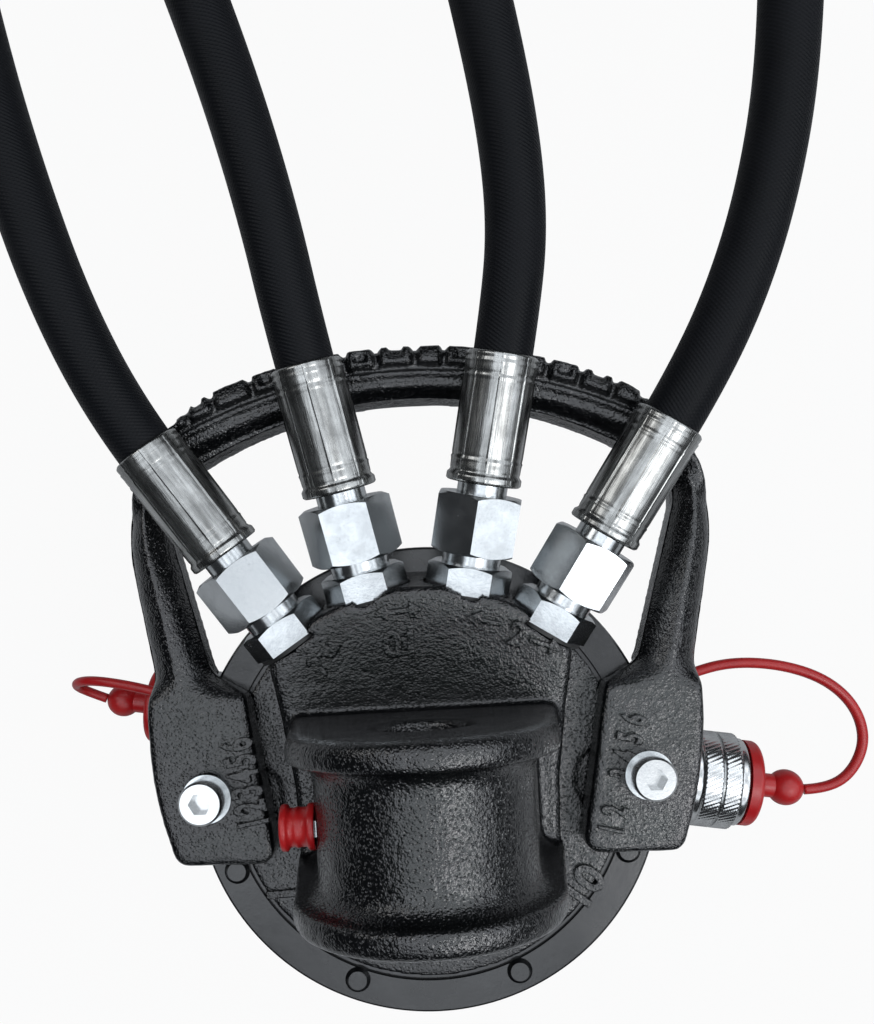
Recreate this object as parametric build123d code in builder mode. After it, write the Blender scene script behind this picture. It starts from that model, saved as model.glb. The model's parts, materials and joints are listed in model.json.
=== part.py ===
from build123d import *
from math import cos, pi, radians, sin, tan
import os

os.makedirs("parts", exist_ok=True)

# Hydraulic grapple rotator: an upper cast housing with a link eye and four hose ports, a cam
# ring and a lower cover around a vane rotor, whose flange carries the grapple, with two quick
# couplings, a hose guard and four pressure hoses.
# Millimetres. The origin is the centre of the rotor's bottom flange face, +Z runs up along the
# slewing axis and +Y points towards the hoses.

# Stack of the slewing unit, from the bottom flange face up
flange_thickness = 16.0
collar_height = 75.0
cover_gap = 3.0
cover_height = 18.0
ring_height = 28.0
rim_thickness = 12.0
collar_top = flange_thickness + collar_height
cover_bottom = collar_top + cover_gap
cover_top = cover_bottom + cover_height
ring_top = cover_top + ring_height
seat_z = ring_top + rim_thickness
static_gap = 0.05
thread_run_out = 1.0

# Stator housing
stator_radius = 73.7
cover_overhang = 2.3
rim_land = 10.9
screw_inset = 6.7
cover_radius = stator_radius + cover_overhang
deck_radius = stator_radius - rim_land
screw_circle = stator_radius - screw_inset
casting_chamfer = 0.8
cover_chamfer = 1.0
deck_drop = 0.6
seam_width = 0.9
seam_depth = 1.0
deck_spot_radius = 10.7
deck_spot_depth = 0.5
deck_spot_inset = 5.8
deck_spot_y = -2.5
clamp_screw_count = 8
clamp_screw_start = 22.5
screw_radius = 4.0
clear_hole_radius = 4.4
screw_head_radius = 6.5
screw_head_height = 8.0
screw_head_chamfer = 0.6
counterbore_radius = 6.9
counterbore_depth = 9.0
screw_socket_af = 6.0
screw_socket_depth = 4.0
screw_end_height = 1.2
screw_end_round = 1.1

# Link eye across the top, with its bore along Y
eye_centre = 60.0
eye_length = 48.4
eye_rim_radius = 34.5
eye_rim_width = 7.2
eye_barrel_radius = 27.8
eye_flare = 5.0
eye_outer_round = 3.0
eye_inner_round = 1.2
eye_waist_round = 5.2
eye_root_depth = 2.0
link_bore_radius = 12.5
link_bore_chamfer = 1.2

# Port block in front of the eye
port_rise = 12.0
block_level = 20.0
block_slope_start = 23.0
block_front_radius = 66.0
block_front_reach = 70.0
block_rear_y = -26.0
block_rear_half_width = 38.5
block_side_y = 2.0
block_side_half_width = 39.3
block_front_half_width = 49.0
block_corner_round = 6.0
block_edge_round = 2.5
port_places = [-39.5, -14.2, 14.2, 39.5]
port_headings = [-33.0, -11.5, 11.5, 33.0]
port_face_radius = 59.5
port_face_height = 13.7
spot_face_radius = 12.9
port_thread_radius = 8.3
port_thread_depth = 16.0
gallery_radius = 2.4

# Shaft, vanes and bearings
journal_radius = 20.0
journal_height = 20.0
journal_chamfer = 1.0
shaft_radius = 30.0
running_clearance = 0.04
drum_radius = 41.5
axial_clearance = 0.3
cam_long_radius = 45.5
cam_short_radius = 42.0
vane_count = 10
vane_thickness = 3.0
vane_depth = 12.0
vane_reach = 41.7
vane_clearance = 0.03
groove_depth = 2.5
groove_width = 5.0
groove_levels = [5.0, 13.0]
bush_wall = 4.0
upper_bush_length = 11.0
lower_bush_length = 8.0
thrust_thickness = 2.0
thrust_outer_radius = 41.0
thrust_bore_clearance = 1.0
lip_seal_radius = 38.0
lip_seal_height = 6.5
lip_seal_land = 1.0
journal_seal_wall = 2.0
journal_seal_height = 1.8
journal_seal_levels = [1.0, 9.0, 17.0]
body_seal_land = 4.1
body_seal_section = 1.15
body_seal_radius = screw_circle - counterbore_radius - body_seal_land

# Rotor flange and side ports
collar_radius = 45.0
collar_chamfer = 1.5
flange_radius = 68.0
flange_bolt_circle = 57.0
flange_bolt_count = 6
flange_hole_radius = 6.5
flange_chamfer = 1.5
collar_root_round = 3.0
rotor_turn = -9.5
side_port_levels = {"right": 76.0, "left": 34.0}
side_port_turns = {"right": 90.0, "left": 270.0}
side_face_reaches = {"right": 48.0, "left": 42.0}
side_face_radius = 14.4
side_thread_depth = 13.0
rotor_gallery_radius = 3.5
rotor_gallery_offset = 12.0

# Hose guard, a bail cast in one piece with its two foot plates. Its feet and legs are placed from
# the line of its two screws.
guard_turn = -1.2
guard_thickness = 12.0
guard_drop = 5.0
guard_rim_clearance = 1.5
guard_hole_radius = 5.5
guard_foot_inner_x = screw_circle - 20.6
guard_foot_outer_x = screw_circle + 10.0
guard_foot_bulge_x = screw_circle + 16.0
guard_foot_bottom_y = -22.3
guard_foot_corner = 5.0
guard_notch_x = screw_circle - 12.1
guard_notch_y = 29.5
guard_notch_round = 4.0
guard_leg_outer_x = screw_circle + 17.0
guard_leg_inner_x = screw_circle - 0.5
guard_leg_y = 36.0
guard_leg_round = 8.0
guard_heel_round = 20.0
guard_shoulder_outer_x = screw_circle + 25.5
guard_shoulder_inner_x = screw_circle + 12.2
guard_shoulder_y = 85.0
guard_shoulder_outer_round = 50.0
guard_shoulder_inner_round = 13.0
guard_arch_outer_y = 134.0
guard_arch_outer_radius = 165.0
guard_arch_inner_y = 119.2
guard_arch_inner_radius = 133.0
guard_edge_round = 2.0
guard_screw_length = 24.0
guard_washer_radius = 7.4
guard_washer_bore = 4.3
guard_washer_height = 2.0
guard_washer_split = 1.6
guard_relief_radius = 5.0
guard_relief_depth = 2.0

# Grease nipple on the side of the eye
nipple_seat_radius = 6.2
nipple_seat_depth = 0.5
nipple_thread_radius = 3.0
nipple_thread_length = 6.0
nipple_thread_chamfer = 0.4
nipple_channel_radius = 1.2
nipple_hex_af = 7.0
nipple_hex_length = 3.4
nipple_neck_radius = 2.3
nipple_head_radius = 3.25
nipple_head_start = 4.6
nipple_head_length = 3.2
nipple_head_flare = 0.8
nipple_head_taper = 1.0
cap_clearance = 0.35
cap_grip_clearance = 0.05
cap_waist_radius = 5.1
cap_rim_radius = 5.7
cap_rim_width = 1.5
cap_rim_taper = 0.5
cap_length = 9.3

# Screwed hose fittings, along each port axis from the spot face
seal_thickness = 1.2
seal_outer_radius = 11.4
adapter_hex_af = 22.0
adapter_hex_end = 9.4
adapter_stud_length = 14.0
adapter_neck_radius = 8.8
adapter_bore_radius = 4.5
adapter_end = 24.0
nut_af = 24.0
nut_start = 12.8
nut_end = 30.2
nut_turns = [8.0, 0.0, 26.0, 14.0]
stem_collar_radius = 8.6
stem_collar_length = 2.5
stem_radius = 7.4
stem_tail_radius = 4.8
stem_bore_radius = 3.2
ferrule_start = 33.4
ferrule_ring_length = 2.4
ferrule_ring_radius = 10.9
ferrule_end = 70.4
ferrule_radius = 10.35
ferrule_flat = 10.15
ferrule_chamfer = 0.5
ferrule_crimp_sides = 8
ferrule_crimp_margin = 7.0
ferrule_groove_width = 0.8
ferrule_groove_depth = 0.35
hose_radius = 8.55
hose_socket_depth = 6.0
hose_bend_share = 0.45

# Quick couplings, along each side port axis from its machined face
coupling_adapter_af = 24.0
coupling_adapter_hex = 8.0
coupling_stud_radius = 8.3
coupling_stud_length = 11.0
coupling_hex_af = 27.0
coupling_hex_length = 14.0
coupling_body_radius = 13.5
coupling_body_length = 66.8
coupling_bore_radius = 10.4
coupling_bore_depth = 26.0
coupling_passage_radius = 6.0
sleeve_start = 42.0
sleeve_end = 75.1
sleeve_chamfer = 1.0
sleeve_mouth_radius = 15.6
sleeve_mouth_depth = 1.4
sleeve_fit = 0.05
sleeve_back_radius = 17.4
sleeve_band_radius = 19.0
sleeve_groove_radius = 17.7
sleeve_front_radius = 17.2
sleeve_band_starts = [57.2, 64.9]
sleeve_band_widths = [6.8, 6.3]
plug_gap = 0.6
plug_flange_radius = 16.8
plug_flange_thickness = 5.3
plug_flange_round = 2.2
plug_stub_clearance = 0.07
plug_stub_length = 20.0
plug_stub_chamfer = 1.0
plug_neck_radius = 4.7
plug_ball_radius = 7.1
plug_ball_offset = 18.6
strap_radius = 2.05
strap_gap = 0.5
strap_ring_offset = 29.0
strap_ring_width = 4.0
strap_ring_gap = 0.4
strap_ring_wall = 2.6

# Routes of the hoses beyond their ferrules, as chosen points
hose_routes = [
    [(-94.4, 143.6, 187.8), (-103.8, 178.0, 191.5), (-111.8, 214.0, 193.8), (-120.5, 268.0, 197.0),
     (-126.5, 319.0, 181.5), (-129.5, 358.0, 141.0), (-131.0, 376.0, 85.5), (-132.0, 411.0, 38.5),
     (-133.0, 461.0, 12.1), (-134.0, 528.0, 12.1)],
    [(-35.6, 166.0, 187.6), (-43.5, 199.0, 191.0), (-54.0, 233.0, 193.5), (-70.5, 284.0, 197.0),
     (-80.0, 334.0, 181.5), (-84.5, 372.0, 141.0), (-86.0, 390.0, 85.5), (-87.5, 425.0, 38.5),
     (-88.5, 475.0, 12.1), (-89.0, 530.0, 12.1)],
    [(33.6, 158.0, 186.6), (32.5, 182.0, 189.5), (27.8, 212.0, 192.0), (18.5, 256.0, 196.0),
     (11.0, 307.0, 180.5), (8.0, 346.0, 140.0), (7.5, 364.0, 84.5), (8.0, 399.0, 38.0),
     (9.5, 449.0, 12.1), (12.0, 520.0, 12.1)],
    [(93.5, 136.5, 187.0), (102.8, 163.5, 190.0), (109.3, 196.0, 192.3), (111.5, 239.0, 196.0),
     (111.5, 290.0, 180.5), (111.0, 329.0, 140.0), (111.0, 347.0, 84.5), (111.5, 382.0, 38.0),
     (113.0, 432.0, 12.1), (116.0, 508.0, 12.1)],
]

# Routes of the plug lanyards as (across, up, along) from the side port faces
lanyard_routes = {
    "right": [(1.5, 1.0, 110.0), (8.0, 3.0, 118.0), (20.0, 5.0, 121.5), (31.0, 7.0, 118.0),
              (40.0, 8.0, 110.0), (46.0, 8.5, 98.0), (48.5, 7.5, 82.0), (47.0, 5.0, 65.0),
              (41.0, 2.5, 51.0), (33.0, 1.0, 39.0), (26.0, 0.0, 31.5)],
    "left": [(-2.0, 1.5, 109.5), (-5.0, 8.5, 113.5), (-8.0, 17.0, 108.5), (-9.5, 21.5, 99.0),
             (-9.0, 23.0, 84.0), (-7.0, 23.5, 68.0), (-4.0, 24.0, 53.0), (-2.0, 25.5, 41.0), (-0.5, 25.0, 32.0)],
}


def keep(piece, name):
    """Label one finished sub-part and write it."""
    piece.label = name
    export_step(piece, f"parts/{name}.step")


def turned(plane, points, mode=Mode.ADD):
    """Turn a closed (along the axis, radius) outline about the normal of a plane."""
    section = Plane(origin=plane.origin, x_dir=plane.z_dir, z_dir=plane.y_dir)
    with BuildSketch(section) as outline:
        with BuildLine():
            Polyline(*points, close=True)
        make_face()
    return revolve(outline.sketch, axis=Axis(plane.origin, plane.z_dir), mode=mode)


def ring_groove(plane, start, end, inner, outer, mode=Mode.SUBTRACT):
    """A rectangular ring about the normal of a plane."""
    return turned(plane, [(start, inner), (start, outer), (end, outer), (end, inner)], mode)


def round_bar(plane, start, end, radius, mode=Mode.ADD):
    """A round bar along the normal of a plane, from start to end."""
    with BuildSketch(plane.offset(start)) as section:
        Circle(radius)
    return extrude(section.sketch, amount=end - start, mode=mode)


def hex_bar(plane, start, end, across_flats, mode=Mode.ADD):
    """A hexagonal bar along the normal of a plane, from start to end."""
    with BuildSketch(plane.offset(start)) as section:
        RegularPolygon(radius=across_flats / 2, side_count=6, major_radius=False)
    return extrude(section.sketch, amount=end - start, mode=mode)


def chamfered_hex(plane, start, end, across_flats, front=True, back=True):
    """The first body of a piece: a hexagonal bar with its corners turned off."""
    corner = across_flats / 2 / cos(radians(30)) + static_gap
    rim = across_flats / 2 - static_gap
    drop = (corner - rim) * tan(radians(30))
    hex_bar(plane, start, end, across_flats)
    outline = [(start, 0), (start, rim), (start + drop, corner)] if back else [(start, 0), (start, corner)]
    outline += [(end - drop, corner), (end, rim), (end, 0)] if front else [(end, corner), (end, 0)]
    return turned(plane, outline, Mode.INTERSECT)


def compass(turn):
    """The horizontal direction that stands turn degrees clockwise from +Y."""
    return Vector(sin(radians(turn)), cos(radians(turn)), 0)


def port_plane(place, heading):
    """The spot face of a hose port, with its normal along the fitting."""
    normal = compass(heading) * cos(radians(port_rise)) + Vector(0, 0, sin(radians(port_rise)))
    origin = compass(place) * port_face_radius + Vector(0, 0, seat_z + port_face_height)
    return Plane(origin=origin, x_dir=compass(heading + 90), z_dir=normal)


def side_plane(side):
    """The machined face of a rotor side port, with its normal along the coupling."""
    out = compass(side_port_turns[side] - rotor_turn)
    origin = out * side_face_reaches[side] + Vector(0, 0, side_port_levels[side])
    return Plane(origin=origin, x_dir=Vector(0, 0, 1).cross(out), z_dir=out)


def twisted(plane, turn):
    """The same plane turned about its own normal."""
    across = plane.x_dir * cos(radians(turn)) + plane.y_dir * sin(radians(turn))
    return Plane(origin=plane.origin, x_dir=across, z_dir=plane.z_dir)


def bar_between(start, end, radius, mode):
    """A round bar from one point to another."""
    return round_bar(Plane(origin=start, z_dir=end - start), 0, (end - start).length, radius, mode)


base = Plane.XY
seat = Plane.XY.offset(seat_z)
port_planes = [port_plane(place, heading) for place, heading in zip(port_places, port_headings)]
side_planes = {side: side_plane(side) for side in side_port_levels}
clamp_places = PolarLocations(screw_circle, clamp_screw_count, start_angle=clamp_screw_start)
guard_places = PolarLocations(screw_circle, 2)
deck_spot_x = deck_radius - deck_spot_inset
journal_bore = journal_radius + running_clearance
upper_bush_radius = journal_radius + bush_wall
lower_bush_radius = shaft_radius + bush_wall
tapped_radius = screw_radius + static_gap
eye_z = seat_z + eye_centre
bore_plane = Plane(origin=(0, -eye_length / 2, eye_z), x_dir=(1, 0, 0), z_dir=(0, 1, 0))
nipple_plane = Plane(
    origin=(nipple_seat_depth - eye_barrel_radius, 0, eye_z), x_dir=(0, 1, 0), z_dir=(-1, 0, 0)
)


def spool_outline(plane, rim, barrel):
    """Plan of the eye between its end faces, symmetrical about the bore axis."""
    rim_inner = eye_length / 2 - eye_rim_width
    with BuildSketch(plane) as plan:
        Rectangle(2 * rim, eye_length)
        with Locations((barrel + rim, 0), (-barrel - rim, 0)):
            Rectangle(2 * rim, 2 * rim_inner, mode=Mode.SUBTRACT)
        ends = plan.vertices().group_by(Axis.Y)
        fillet(ends[0] + ends[-1], eye_outer_round)
        steps = plan.vertices().filter_by(lambda v: abs(abs(v.Y) - rim_inner) < static_gap)
        fillet(steps.filter_by(lambda v: abs(v.X) > rim - static_gap), eye_inner_round)
        steps = plan.vertices().filter_by(lambda v: abs(abs(v.Y) - rim_inner) < static_gap)
        fillet(steps.filter_by(lambda v: abs(v.X) < barrel + static_gap), eye_waist_round)
    return plan.sketch


# Stator casting: flanged disc, port block and link eye in one piece
block_root = seat_z - rim_thickness / 2
slope_top = block_level + (block_front_reach - block_slope_start) * tan(radians(port_rise))
with BuildPart() as port_block:
    with BuildSketch(Plane.YZ):
        with BuildLine():
            Polyline(
                (block_rear_y, block_root), (block_front_reach, block_root),
                (block_front_reach, seat_z + slope_top), (block_slope_start, seat_z + block_level),
                (block_rear_y, seat_z + block_level), close=True)
        make_face()
    extrude(amount=block_front_half_width, both=True)
    with BuildSketch(Plane.XY.offset(block_root)):
        with BuildLine():
            Polyline(
                (0, block_rear_y), (block_rear_half_width, block_rear_y),
                (block_side_half_width, block_side_y),
                (block_front_half_width, block_front_reach), (0, block_front_reach), close=True)
        make_face()
        mirror(about=Plane.YZ)
    extrude(amount=rim_thickness + slope_top, mode=Mode.INTERSECT)
    lean = tan(radians(port_rise))
    turned(seat, [
        (-rim_thickness, 0), (-rim_thickness, block_front_radius + rim_thickness * lean),
        (2 * slope_top, block_front_radius - 2 * slope_top * lean), (2 * slope_top, 0),
    ], Mode.INTERSECT)
    corners = port_block.edges().filter_by(
        lambda e: e.center().Y > block_slope_start and abs(e.center().X) > block_side_half_width
        and abs(e.tangent_at(0.5).Z) > 0.8)
    fillet(corners, block_corner_round)
    crest = port_block.faces().filter_by(lambda f: f.normal_at().Z > 0.9).edges()
    crest = [
        e for e in crest
        if abs(e.center().X) > static_gap or abs(e.center().Y - block_slope_start) > 1]
    fillet(ShapeList(crest), block_edge_round)

with BuildPart() as eye_waist:
    upper = spool_outline(Plane.XY.offset(eye_z), eye_rim_radius, eye_barrel_radius)
    lower = spool_outline(
        Plane.XY.offset(seat_z + block_level - eye_root_depth),
        eye_rim_radius + eye_flare, eye_barrel_radius + eye_flare)
    loft([upper, lower], ruled=True)

with BuildPart() as eye_crown:
    half_spool = spool_outline(Plane.XY.offset(eye_z), eye_rim_radius, eye_barrel_radius)
    with BuildSketch(Plane.XY.offset(eye_z)) as right_half:
        add(half_spool)
        with Locations((-eye_rim_radius, 0)):
            Rectangle(2 * eye_rim_radius, 2 * eye_length, mode=Mode.SUBTRACT)
    revolve(right_half.sketch, axis=Axis((0, 0, eye_z), (0, -1, 0)), revolution_arc=180)

with BuildPart() as stator_casting:
    turned(base, [
        (ring_top, 0), (ring_top, stator_radius), (seat_z - casting_chamfer, stator_radius),
        (seat_z, stator_radius - casting_chamfer), (seat_z, deck_radius),
        (seat_z - deck_drop, deck_radius), (seat_z - deck_drop, 0),
    ])
    ring_groove(seat, -seam_depth, deck_drop, deck_radius - seam_width / 2, deck_radius + seam_width / 2)
    with BuildSketch(seat):
        with Locations((deck_spot_x, deck_spot_y), (-deck_spot_x, deck_spot_y)):
            Circle(deck_spot_radius)
    extrude(amount=-deck_drop - deck_spot_depth, mode=Mode.SUBTRACT)
    add(port_block.part)
    add(eye_waist.part)
    add(eye_crown.part)
    # Link bore with chamfered mouths
    turned(bore_plane, [
        (0, 0), (0, link_bore_radius + link_bore_chamfer), (link_bore_chamfer, link_bore_radius),
        (eye_length - link_bore_chamfer, link_bore_radius),
        (eye_length, link_bore_radius + link_bore_chamfer), (eye_length, 0),
    ], Mode.SUBTRACT)
    # Bush seat and journal bore with its ring seal grooves
    turned(base, [
        (ring_top, 0), (ring_top, upper_bush_radius + static_gap),
        (ring_top + upper_bush_length + static_gap, upper_bush_radius + static_gap),
        (ring_top + upper_bush_length + static_gap, journal_bore),
        (seat_z + journal_height + 2 * axial_clearance, journal_bore),
        (seat_z + journal_height + 2 * axial_clearance, 0),
    ], Mode.SUBTRACT)
    for level in journal_seal_levels:
        ring_groove(
            seat, level - journal_seal_height / 2 - static_gap, level + journal_seal_height / 2 + static_gap,
            0, journal_radius + journal_seal_wall + static_gap)
    ring_groove(
        base, ring_top, ring_top + 2 * body_seal_section + static_gap,
        body_seal_radius - body_seal_section - static_gap, body_seal_radius + body_seal_section + static_gap)
    # Hose ports: spot face, thread bore and oil gallery
    for plane in port_planes:
        round_bar(plane, 0, spot_face_radius, spot_face_radius, Mode.SUBTRACT)
        round_bar(plane, -port_thread_depth, 0, port_thread_radius + static_gap, Mode.SUBTRACT)
    for plane, level in zip(port_planes[1:3], groove_levels):
        bore_end = plane.origin - plane.z_dir * (port_thread_depth - gallery_radius)
        bar_between(bore_end, Vector(0, 0, seat_z + level), gallery_radius, Mode.SUBTRACT)
    for plane in port_planes[0::3]:
        bore_end = plane.origin - plane.z_dir * (port_thread_depth - gallery_radius)
        bar_between(bore_end, Vector(bore_end.X, bore_end.Y, ring_top), gallery_radius, Mode.SUBTRACT)
    # Tapped holes for the clamp screws and the guard screws
    with BuildSketch(Plane.XY.offset(ring_top)):
        with clamp_places:
            Circle(tapped_radius)
    extrude(amount=rim_thickness + 2 * screw_end_height, mode=Mode.SUBTRACT)
    with BuildSketch(seat):
        with guard_places:
            Circle(tapped_radius)
    extrude(amount=thread_run_out - rim_thickness, mode=Mode.SUBTRACT)
    # Grease nipple seat, thread and channel
    round_bar(nipple_plane, 0, nipple_seat_radius, nipple_seat_radius, Mode.SUBTRACT)
    round_bar(
        nipple_plane, -nipple_thread_length - thread_run_out, 0,
        nipple_thread_radius + static_gap, Mode.SUBTRACT)
    round_bar(
        nipple_plane, link_bore_radius - eye_barrel_radius - thread_run_out, 0,
        nipple_channel_radius, Mode.SUBTRACT)
keep(stator_casting.part, "stator_casting")


# Cam ring: round outside, oval vane track inside
with BuildPart() as cam_ring:
    with BuildSketch(Plane.XY.offset(cover_top)):
        Circle(stator_radius)
        Ellipse(cam_long_radius, cam_short_radius, mode=Mode.SUBTRACT)
        with clamp_places:
            Circle(clear_hole_radius, mode=Mode.SUBTRACT)
    extrude(amount=ring_height)
keep(cam_ring.part, "cam_ring")

# Lower cover with the bush, the lip seal and the thrust washer seats
thrust_inner_radius = shaft_radius + thrust_bore_clearance
lower_bush_z = cover_bottom + lip_seal_height + lip_seal_land
with BuildPart() as lower_cover:
    turned(base, [
        (cover_bottom, lip_seal_radius + static_gap), (cover_bottom, cover_radius - cover_chamfer),
        (cover_bottom + cover_chamfer, cover_radius), (cover_top - cover_chamfer, cover_radius),
        (cover_top, cover_radius - cover_chamfer),
        (cover_top, thrust_outer_radius + static_gap),
        (cover_top - thrust_thickness, thrust_outer_radius + static_gap),
        (cover_top - thrust_thickness, lower_bush_radius + static_gap),
        (lower_bush_z, lower_bush_radius + static_gap), (lower_bush_z, thrust_inner_radius),
        (cover_bottom + lip_seal_height, thrust_inner_radius),
        (cover_bottom + lip_seal_height, lip_seal_radius + static_gap),
    ])
    ring_groove(
        base, cover_top - 2 * body_seal_section - static_gap, cover_top,
        body_seal_radius - body_seal_section - static_gap, body_seal_radius + body_seal_section + static_gap)
    with BuildSketch(Plane.XY.offset(cover_bottom)):
        with clamp_places:
            Circle(clear_hole_radius)
    extrude(amount=cover_height, mode=Mode.SUBTRACT)
    with BuildSketch(Plane.XY.offset(cover_bottom)):
        with clamp_places:
            Circle(counterbore_radius)
    extrude(amount=counterbore_depth, mode=Mode.SUBTRACT)
keep(lower_cover.part, "lower_cover")

# Clamp screws, entered from below, with their ends just through the casting
head_z = cover_bottom + counterbore_depth - screw_head_height
with BuildPart() as clamp_screws:
    with BuildSketch(Plane.XY.offset(head_z)):
        with clamp_places:
            Circle(screw_head_radius)
            RegularPolygon(screw_socket_af / 2, 6, major_radius=False, mode=Mode.SUBTRACT)
    extrude(amount=screw_socket_depth)
    with BuildSketch(Plane.XY.offset(head_z + screw_socket_depth)):
        with clamp_places:
            Circle(screw_head_radius)
    extrude(amount=screw_head_height - screw_socket_depth)
    with BuildSketch(Plane.XY.offset(head_z + screw_head_height)):
        with clamp_places:
            Circle(screw_radius)
    extrude(amount=seat_z + screw_end_height - head_z - screw_head_height)
    chamfer(clamp_screws.edges().group_by(Axis.Z)[-1], screw_end_round)
keep(clamp_screws.part, "clamp_screws")

# Bushes, seals and thrust washer
with BuildPart() as upper_bush:
    ring_groove(
        base, ring_top, ring_top + upper_bush_length,
        journal_radius + running_clearance, upper_bush_radius, Mode.ADD)
keep(upper_bush.part, "upper_bush")

with BuildPart() as lower_bush:
    ring_groove(
        base, lower_bush_z, lower_bush_z + lower_bush_length,
        shaft_radius + running_clearance, lower_bush_radius, Mode.ADD)
keep(lower_bush.part, "lower_bush")

with BuildPart() as thrust_washer:
    ring_groove(
        base, cover_top - thrust_thickness, cover_top, thrust_inner_radius, thrust_outer_radius, Mode.ADD)
keep(thrust_washer.part, "thrust_washer")

with BuildPart() as shaft_seals:
    ring_groove(
        base, cover_bottom + axial_clearance, cover_bottom + lip_seal_height,
        shaft_radius + running_clearance, lip_seal_radius, Mode.ADD)
    for level in journal_seal_levels:
        ring_groove(
            seat, level - journal_seal_height / 2, level + journal_seal_height / 2,
            journal_radius + running_clearance / 2, journal_radius + journal_seal_wall, Mode.ADD)
keep(shaft_seals.part, "shaft_seals")

with BuildPart() as body_seals:
    for height in (ring_top + body_seal_section, cover_top - body_seal_section):
        with BuildSketch(Plane.XZ) as section:
            with Locations((body_seal_radius, height)):
                Circle(body_seal_section)
        revolve(axis=Axis.Z)
keep(body_seals.part, "body_seals")

# Rotor: flange, collar, shaft, vane drum and journal in one piece
drum_bottom = cover_top + axial_clearance
drum_top = ring_top - axial_clearance
journal_top = seat_z + journal_height
flange_places = PolarLocations(flange_bolt_circle, flange_bolt_count)
vane_places = PolarLocations(vane_reach - vane_depth, vane_count)
with BuildPart() as rotor_shaft:
    turned(base, [
        (0, 0), (0, flange_radius - flange_chamfer), (flange_chamfer, flange_radius),
        (flange_thickness - flange_chamfer, flange_radius), (flange_thickness, flange_radius - flange_chamfer),
        (flange_thickness, collar_radius), (collar_top - collar_chamfer, collar_radius),
        (collar_top, collar_radius - collar_chamfer), (collar_top, shaft_radius),
        (drum_bottom, shaft_radius), (drum_bottom, drum_radius), (drum_top, drum_radius),
        (drum_top, journal_radius), (journal_top - journal_chamfer, journal_radius),
        (journal_top, journal_radius - journal_chamfer), (journal_top, 0),
    ])
    root = rotor_shaft.edges().filter_by(GeomType.CIRCLE).filter_by(
        lambda e: abs(e.radius - collar_radius) < static_gap and abs(e.center().Z - flange_thickness) < 1)
    fillet(root, collar_root_round)
    for level in groove_levels:
        ring_groove(
            seat, level - groove_width / 2, level + groove_width / 2,
            journal_radius - groove_depth, journal_radius + 1)
    with BuildSketch(base):
        with flange_places:
            Circle(flange_hole_radius)
    extrude(amount=flange_thickness, mode=Mode.SUBTRACT)
    with BuildSketch(Plane.XY.offset(drum_bottom)):
        with vane_places:
            Rectangle(
                2 * vane_depth, vane_thickness + 2 * vane_clearance,
                align=(Align.MIN, Align.CENTER))
    extrude(amount=drum_top - drum_bottom, mode=Mode.SUBTRACT)
    # Raised face of the right side port, sunk face of the left one
    for side, plane in side_planes.items():
        reach = side_face_reaches[side]
        if reach > collar_radius:
            round_bar(plane, -reach / 2, 0, side_face_radius)
    # Side port threads and their galleries up to the journal grooves
    for (side, plane), level in zip(side_planes.items(), groove_levels):
        out = plane.z_dir
        riser = Plane(origin=out * rotor_gallery_offset)
        gallery_start = rotor_gallery_offset - side_face_reaches[side]
        turned(plane, [
            (gallery_start, 0), (gallery_start, rotor_gallery_radius),
            (-side_thread_depth, rotor_gallery_radius),
            (-side_thread_depth, coupling_stud_radius + static_gap),
            (0, coupling_stud_radius + static_gap), (0, side_face_radius),
            (side_face_radius, side_face_radius), (side_face_radius, 0),
        ], Mode.SUBTRACT)
        round_bar(riser, side_port_levels[side], seat_z + level, rotor_gallery_radius, Mode.SUBTRACT)
        cross = Plane(origin=(0, 0, seat_z + level), z_dir=out)
        round_bar(cross, rotor_gallery_offset, journal_radius, gallery_radius, Mode.SUBTRACT)
keep(rotor_shaft.part, "rotor_shaft")

with BuildPart() as vanes:
    with BuildSketch(Plane.XY.offset(drum_bottom)):
        with vane_places:
            Rectangle(vane_depth, vane_thickness, align=(Align.MIN, Align.CENTER))
    extrude(amount=drum_top - drum_bottom)
keep(vanes.part, "vanes")

# Hose guard: arch, two legs and two foot plates in one casting
guard_frame = Plane.XY.rotated((0, 0, guard_turn))
guard_top = seat_z + guard_thickness
guard_underside = guard_frame.offset(seat_z - guard_drop)


def leg_x(knee_x, shoulder_x, y):
    """Distance of a leg's straight edge from the middle of the guard."""
    return knee_x + (y - guard_leg_y) * (shoulder_x - knee_x) / (guard_shoulder_y - guard_leg_y)


with BuildSketch() as guard_window:
    with BuildLine():
        Polyline(
            (0, 2 * guard_foot_bottom_y),
            (2 * guard_foot_inner_x - guard_notch_x, 2 * guard_foot_bottom_y - guard_notch_y),
            (guard_notch_x, guard_notch_y), (guard_leg_inner_x, guard_leg_y),
            (leg_x(guard_leg_inner_x, guard_shoulder_inner_x, guard_arch_inner_y), guard_arch_inner_y),
            (0, guard_arch_inner_y), close=True)
    make_face()
    mirror(about=Plane.YZ)
    with Locations((0, guard_arch_inner_y - guard_arch_inner_radius)):
        Circle(guard_arch_inner_radius, mode=Mode.INTERSECT)

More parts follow.
